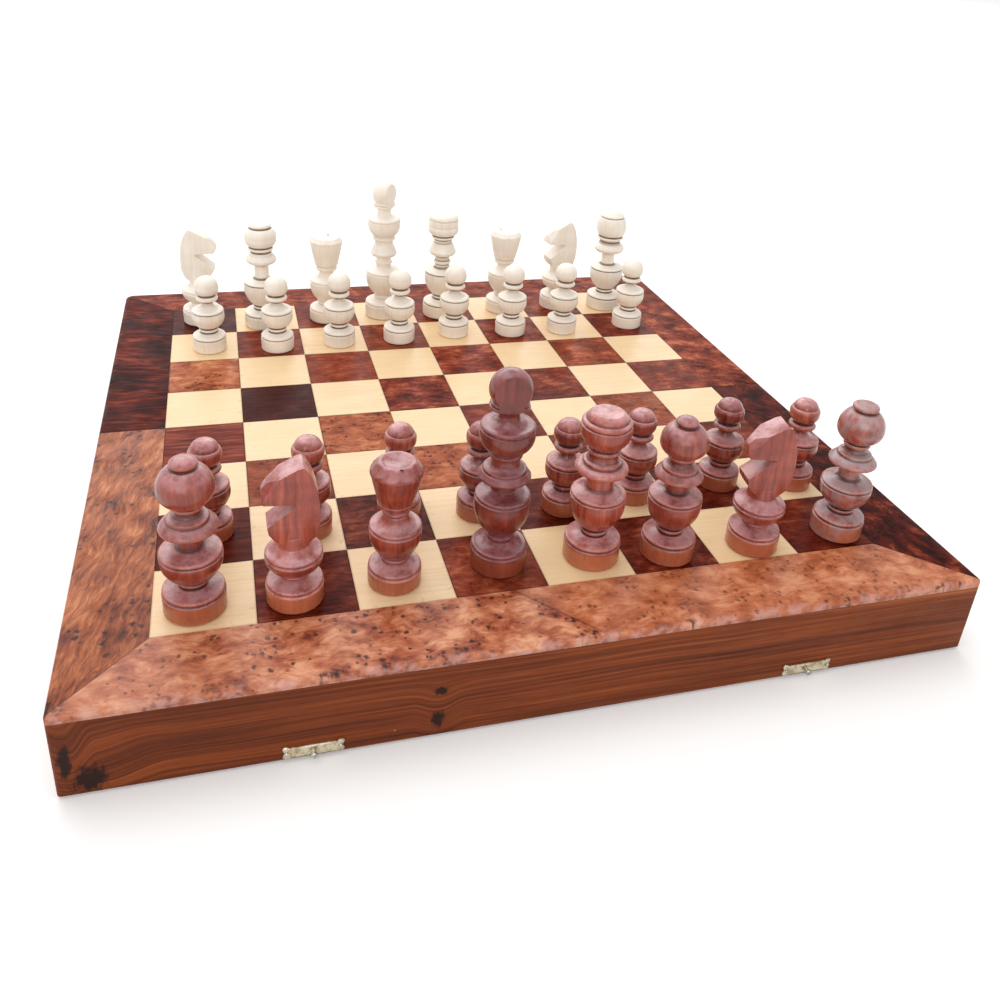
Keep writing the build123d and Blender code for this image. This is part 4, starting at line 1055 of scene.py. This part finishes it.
def slice_off(ob, at, normal):
    """Cut everything beyond a plane away and close the cut."""
    bm = bmesh.new()
    bm.from_mesh(ob.data)
    r = bmesh.ops.bisect_plane(bm, geom=bm.verts[:] + bm.edges[:] + bm.faces[:], dist=1e-7,
                               plane_co=[c * MM for c in at], plane_no=normal, clear_outer=True)
    edges = [e for e in r["geom_cut"] if isinstance(e, bmesh.types.BMEdge)]
    bmesh.ops.edgeloop_fill(bm, edges=edges)
    bmesh.ops.recalc_face_normals(bm, faces=bm.faces)
    bm.to_mesh(ob.data)
    bm.free()


def knight_head():
    n = len(KNIGHT_SIDE)
    t = KNIGHT_T
    verts = [(x * MM, -t * MM, z * MM) for x, z in KNIGHT_SIDE] + [(x * MM, t * MM, z * MM) for x, z in KNIGHT_SIDE]
    faces = [tuple(range(n)), tuple(reversed(range(n, 2 * n)))]
    faces += [(i, i + n, (i + 1) % n + n, (i + 1) % n) for i in range(n)]
    ob = temp(verts, faces)
    bm = bmesh.new()
    bm.from_mesh(ob.data)
    bmesh.ops.recalc_face_normals(bm, faces=bm.faces)
    bm.to_mesh(ob.data)
    bm.free()
    v, f, c = lathe([(0, 28.6), L(1.0, 28.6), A(9.4, 31.6, 12.6, 40.0), A(13.0, 50.0, 12.2, 58.0),
                     A(9.6, 64.4, 2.0, 69.0), L(0, 69.0)], 96, 5)
    boolean(ob, temp(v, f), "INTERSECT")
    for side in (-1, 1):
        slice_off(ob, (MUZZLE_AT[0], side * MUZZLE_AT[1], MUZZLE_AT[2]),
                  (MUZZLE_N[0], side * MUZZLE_N[1], MUZZLE_N[2]))
    soften(ob, 0.30, 24, 3)
    return ob


# how much deeper than the rest some pieces are in colour
DEEP = {"red_king": 0.85, "red_rook_left": 0.30, "red_pawn_4": 0.45, "red_pawn_5": 0.30, "red_pawn_7": 0.45,
        "red_bishop_right": 0.35, "red_bishop_left": 0.30, "red_knight_right": 0.15, "red_rook_right": 0.15}


def piece(node, items, turn, xy, mat, slot, body, wear=0.0, carve=None, tilt=(0, 0)):
    seed = sum(ord(ch) for ch in node) * 7
    rr = random.Random(seed)
    v, f, cv = lathe(items, 112, seed)
    ob = make(node + "_v", v, f, mat, body, slot)
    vec_attr(ob.data, "cavity", cv)
    if carve:
        carve(ob)
    me = ob.data
    if not me.materials:
        me.materials.append(mat)
    if "cavity" not in me.attributes:
        vec_attr(me, "cavity", [(0, 0, 0)] * len(me.vertices))
    rot = Matrix.Rotation(math.radians(turn), 4, "Z")
    me.transform(rot)
    vec_attr(me, "own", [tuple(q.co) for q in me.vertices])
    o = (rr.uniform(-2, 2), rr.uniform(-2, 2), rr.uniform(-2, 2))
    vec_attr(me, "cut", [o] * len(me.vertices))
    vec_attr(me, "look", [(wear, DEEP.get(node, 0.0), 0)] * len(me.vertices))
    me.transform(Matrix.Translation((xy[0], xy[1], xy[2])))
    sharpen(me, 52)
    me.materials.clear()
    me.materials.append(mat)
    for q in me.polygons:
        q.material_index = 0
    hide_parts(node)
    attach(ob, node)
    return ob


def carve_king(ob):
    for side in (-1, 1):
        boolean(ob, temp_box(0, side * 15.2, 87.3, 40, 20, 25.4))
    soften(ob, 0.18, 40, 2)


def facets(ob, d):
    """Plane the goblet's crown into tilted facets."""
    tilt = math.radians(CROWN_TILT)
    nr, nz = math.cos(tilt), math.sin(tilt)
    for v in ob.data.vertices:
        r = math.hypot(v.co.x, v.co.y) / MM
        z = v.co.z / MM
        if z < 50 or r < 0.5:
            continue
        th = math.atan2(v.co.y, v.co.x)
        w = 2 * math.pi / CROWN_FACETS
        off = (th + w / 2) % w - w / 2
        lim = (d - z * nz) / (nr * math.cos(off))
        if r > lim:
            k = lim / r
            v.co.x *= k
            v.co.y *= k


def carve_red_goblet(ob):
    facets(ob, RED_CROWN_D)
    v, f, c = lathe([(0, -0.8), A(0.566, -0.566, 0.8, 0), A(0.566, 0.566, 0, 0.8)], 24, 1)
    ball = temp([(x, y - 7.6 * MM, z + 60.2 * MM) for x, y, z in v], f)
    boolean(ob, ball)


def carve_white_goblet(ob):
    facets(ob, WHITE_CROWN_D)
    rot = Matrix.Rotation(math.radians(28), 3, "X")
    boolean(ob, temp_box(0, -8.2, 59.6, 1.1, 6.0, 4.0, rot))


def carve_knight(ob):
    hd = knight_head()
    m = ob.modifiers.new("j", "BOOLEAN")
    m.operation = "UNION"
    m.solver = "EXACT"
    m.object = hd
    dg = bpy.context.evaluated_depsgraph_get()
    me = bpy.data.meshes.new_from_object(ob.evaluated_get(dg))
    ob.modifiers.clear()
    ob.data = me
    hm = hd.data
    bpy.data.objects.remove(hd)
    bpy.data.meshes.remove(hm)


def centre(node):
    a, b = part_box(node)
    return ((a[0] + b[0]) / 2, (a[1] + b[1]) / 2, a[2])


SET = {
    "red_rook_left": (red_rook_profile(12.8, False), 0, None, 0.0),
    "red_knight_left": (knight_profile(), 0, carve_knight, 0.0),
    "red_bishop_left": (red_goblet_profile(), 4, carve_red_goblet, 0.0),
    "red_king": (red_king_profile(), -6, carve_king, 0.0),
    "red_queen": (red_queen_profile(), 0, None, 0.0),
    "red_bishop_right": (third_bulb_profile(), 0, None, 0.0),
    "red_knight_right": (knight_profile(), -8, carve_knight, 0.0),
    "red_rook_right": (red_rook_profile(12.0, True), 0, None, 1.0),
    "white_knight_left": (knight_profile(), 170, carve_knight, 0.0),
    "white_rook_left": (white_rook_profile(False), 0, None, 0.0),
    "white_bishop_left": (white_goblet_profile(), 160, carve_white_goblet, 0.0),
    "white_king": (white_king_profile(), 50, carve_king, 0.0),
    "white_queen": (white_queen_profile(), 0, None, 0.0),
    "white_bishop_right": (white_goblet_profile(), 200, carve_white_goblet, 0.0),
    "white_knight_right": (knight_profile(), 10, carve_knight, 0.0),
    "white_rook_right": (white_rook_profile(True), 0, None, 0.0),
}
for i in range(1, 9):
    SET["red_pawn_%d" % i] = (pawn_profile(True), 37 * i, None, 0.0)
    SET["white_pawn_%d" % i] = (pawn_profile(False), 53 * i, None, 0.0)

PLACES = {"red_rook_left": (-148.6, -150.7), "red_knight_left": (-108.3, -152.3), "red_bishop_left": (-65.6, -149.1),
          "red_king": (-17.9, -145.8), "red_queen": (25.8, -148.8), "red_bishop_right": (62.0, -152.9),
          "red_knight_right": (105.4, -154.8), "red_rook_right": (153.1, -152.5),
          "white_knight_left": (-146.9, 147.5), "white_rook_left": (-106.0, 136.3), "white_bishop_left": (-62.2, 140.6),
          "white_king": (-21.9, 143.4), "white_queen": (19.3, 139.1), "white_bishop_right": (66.5, 142.2),
          "white_knight_right": (109.6, 143.9), "white_rook_right": (146.3, 139.4)}
for node, (items, turn, carve, wear) in SET.items():
    red = node.startswith("red")
    c = centre(node)
    xy = PLACES.get(node)
    at = (xy[0] * MM, xy[1] * MM, c[2]) if xy else c
    piece(node, items, turn, at, M_red if red else M_cream, "red_piece_wood" if red else "white_piece_wood",
          node, wear, carve)


# ------------------------------------------------------------------ catches
def plate_mesh(node, body, sign, cx_list, cz):
    """Cast plates with fishtail ends: a bevelled outline, a raised middle rib and soft edges."""
    half = [(8.4, 2.5), (9.4, 2.6), (10.2, 3.0), (11.0, 3.1), (11.8, 2.7), (12.1, 2.0), (11.8, 0.9), (11.35, 0.0),
            (11.8, -0.9), (12.1, -2.0), (11.8, -2.7), (11.0, -3.1), (10.2, -3.0), (9.4, -2.7), (8.4, -2.6)]
    out = half + [(-x, z) for x, z in reversed(half)]
    levels = [(1.0, 0.0), (1.0, 0.55), (0.93, 0.88), (0.84, 0.98), (0.5, 1.0)]
    verts, faces = [], []
    for cx in cx_list:
        rings = []
        for k, (s, t) in enumerate(levels):
            base = len(verts)
            for x, z in out:
                sx = x - math.copysign(min(abs(x), (1 - s) * 6.0), x) if s > 0.6 else x * s
                sz = z * s
                verts.append((cx + sx * MM, sign * (H + t * MM), cz + sz * MM))
            rings.append(list(range(base, base + len(out))))
        n = len(out)
        for a, b in zip(rings, rings[1:]):
            for k in range(n):
                faces.append((a[k], a[(k + 1) % n], b[(k + 1) % n], b[k]))
        faces.append(tuple(rings[-1]))
        faces.append(tuple(reversed(rings[0])))
    ob = make(node + "_v", verts, faces, M_brass, body, "aged_brass")
    bm = bmesh.new(); bm.from_mesh(ob.data); bmesh.ops.recalc_face_normals(bm, faces=bm.faces); bm.to_mesh(ob.data); bm.free()
    sharpen(ob.data, 45)
    return ob


def studs(node, body, sign, places, prof, mat, slot, seg=40):
    """Turned studs and nail heads standing out of a wall; profile in (radius, distance out from the wall), mm."""
    verts, faces = [], []
    for x, z in places:
        pts = sample(prof, 0.12)
        rings = []
        for r, d in pts:
            s = len(verts)
            if r < 1e-6:
                verts.append((x, sign * (H + d * MM), z))
                rings.append([s])
                continue
            for k in range(seg):
                t = 2 * math.pi * k / seg
                verts.append((x + r * MM * math.cos(t), sign * (H + d * MM), z + r * MM * math.sin(t)))
            rings.append([s + k for k in range(seg)])
        for a, b in zip(rings, rings[1:]):
            for k in range(seg):
                k2 = (k + 1) % seg
                if len(a) == 1 and len(b) == 1:
                    continue
                if len(a) == 1:
                    faces.append((a[0], b[k], b[k2]))
                elif len(b) == 1:
                    faces.append((a[k], a[k2], b[0]))
                else:
                    faces.append((a[k], a[k2], b[k2], b[k]))
        if len(rings[0]) > 1:
            faces.append(tuple(rings[0]))
    ob = make(node, verts, faces, mat, body, slot)
    bm = bmesh.new(); bm.from_mesh(ob.data); bmesh.ops.recalc_face_normals(bm, faces=bm.faces); bm.to_mesh(ob.data); bm.free()
    sharpen(ob.data, 50)
    return ob


LX, RX = -0.106, 0.115
PZ = 0.0050
near_plates = plate_mesh("near_catch_plates", "near_half", -1, (LX, RX), PZ)
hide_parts("near_catch_plates"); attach(near_plates, "near_half")
far_plates = plate_mesh("far_catch_plates", "far_half", 1, (LX, RX), PZ)
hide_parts("far_catch_plates"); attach(far_plates, "far_half")
piv = studs("far_catch_pivots_v", "far_half", 1, [(LX, 0.0056), (RX, 0.0056)],
            [(0.8, 0.2), L(0.8, 2.5), L(1.4, 2.5), L(1.4, 2.9), A(1.15, 3.4, 0.5, 3.6), L(0, 3.6)], M_brass, "aged_brass")
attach(piv, "far_half")
st = studs("near_catch_studs_v", "near_half", -1, [(LX, 0.0040), (RX, 0.0040)],
           [(1.0, 0.2), L(1.0, 2.6), L(1.6, 2.6), L(1.6, 2.95), A(1.35, 3.35, 0.7, 3.6), L(0, 3.6)], M_steel, "steel")
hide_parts("near_catch_studs"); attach(st, "near_half")
for h, s in (("near", -1), ("far", 1)):
    head = ([(0.45, 0.3), L(0.45, 1.0), L(0.85, 1.0), A(0.7, 1.4, 0.3, 1.6), L(0, 1.6)] if s < 0 else
            [(0.45, 0.3), L(0.45, 1.0), L(0.85, 1.0), L(0.7, 1.08), L(0.3, 1.12), L(0, 1.12)])
    nl = studs(h + "_catch_nails_v", h + "_half", s, [(cx + dx, PZ) for cx in (LX, RX) for dx in (-0.0106, 0.0106)],
               head, M_steel, "aged_brass", 28)
    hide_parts(h + "_catch_nails"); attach(nl, h + "_half")

# ------------------------------------------------------------------ floor and light
def floor():
    bm = bmesh.new()
    bmesh.ops.create_grid(bm, x_segments=4, y_segments=4, size=14.0)
    me = bpy.data.meshes.new("floor")
    bm.to_mesh(me)
    bm.free()
    ob = bpy.data.objects.new("floor", me)
    scene.collection.objects.link(ob)
    ob.location = (0, 0, -0.0002)
    n = Net("pale floor")
    g = n.noise(n.obj(), 3.0, 2)
    col = n.ramp(g, [(0.3, (0.90, 0.90, 0.895)), (0.7, (0.93, 0.93, 0.925))])
    n.bsdf.inputs["Emission Color"].default_value = (1, 1, 1, 1)
    me.materials.append(n.finish(col, 0.9, None, Specular_IOR_Level=0.2, Emission_Strength=0.14))


floor()
world = bpy.data.worlds.new("studio")
scene.world = world
world.use_nodes = True
bg = world.node_tree.nodes["Background"]
bg.inputs[0].default_value = (1.0, 0.99, 0.98, 1)
bg.inputs[1].default_value = 0.74


def area(name, loc, target, size, power, color=(1, 1, 1)):
    d = bpy.data.lights.new(name, "AREA")
    d.shape = "RECTANGLE"
    d.size, d.size_y = size
    d.energy = power
    d.color = color
    o = bpy.data.objects.new(name, d)
    scene.collection.objects.link(o)
    o.location = loc
    o.rotation_euler = (Vector(target) - Vector(loc)).to_track_quat("-Z", "Y").to_euler()
    return o


area("overhead", (-0.35, 0.35, 1.6), (0, 0, 0.03), (1.5, 1.5), 11, (0.985, 0.99, 1.0))
area("front fill", (-0.6, -1.8, 0.9), (0, 0, 0.05), (1.4, 1.0), 9, (1.0, 0.98, 0.96))
area("back wash", (0.0, 4.5, 2.6), (0, 3.2, 0.0), (6.0, 2.5), 110, (1.0, 1.0, 1.0))

bpy.context.view_layer.update()
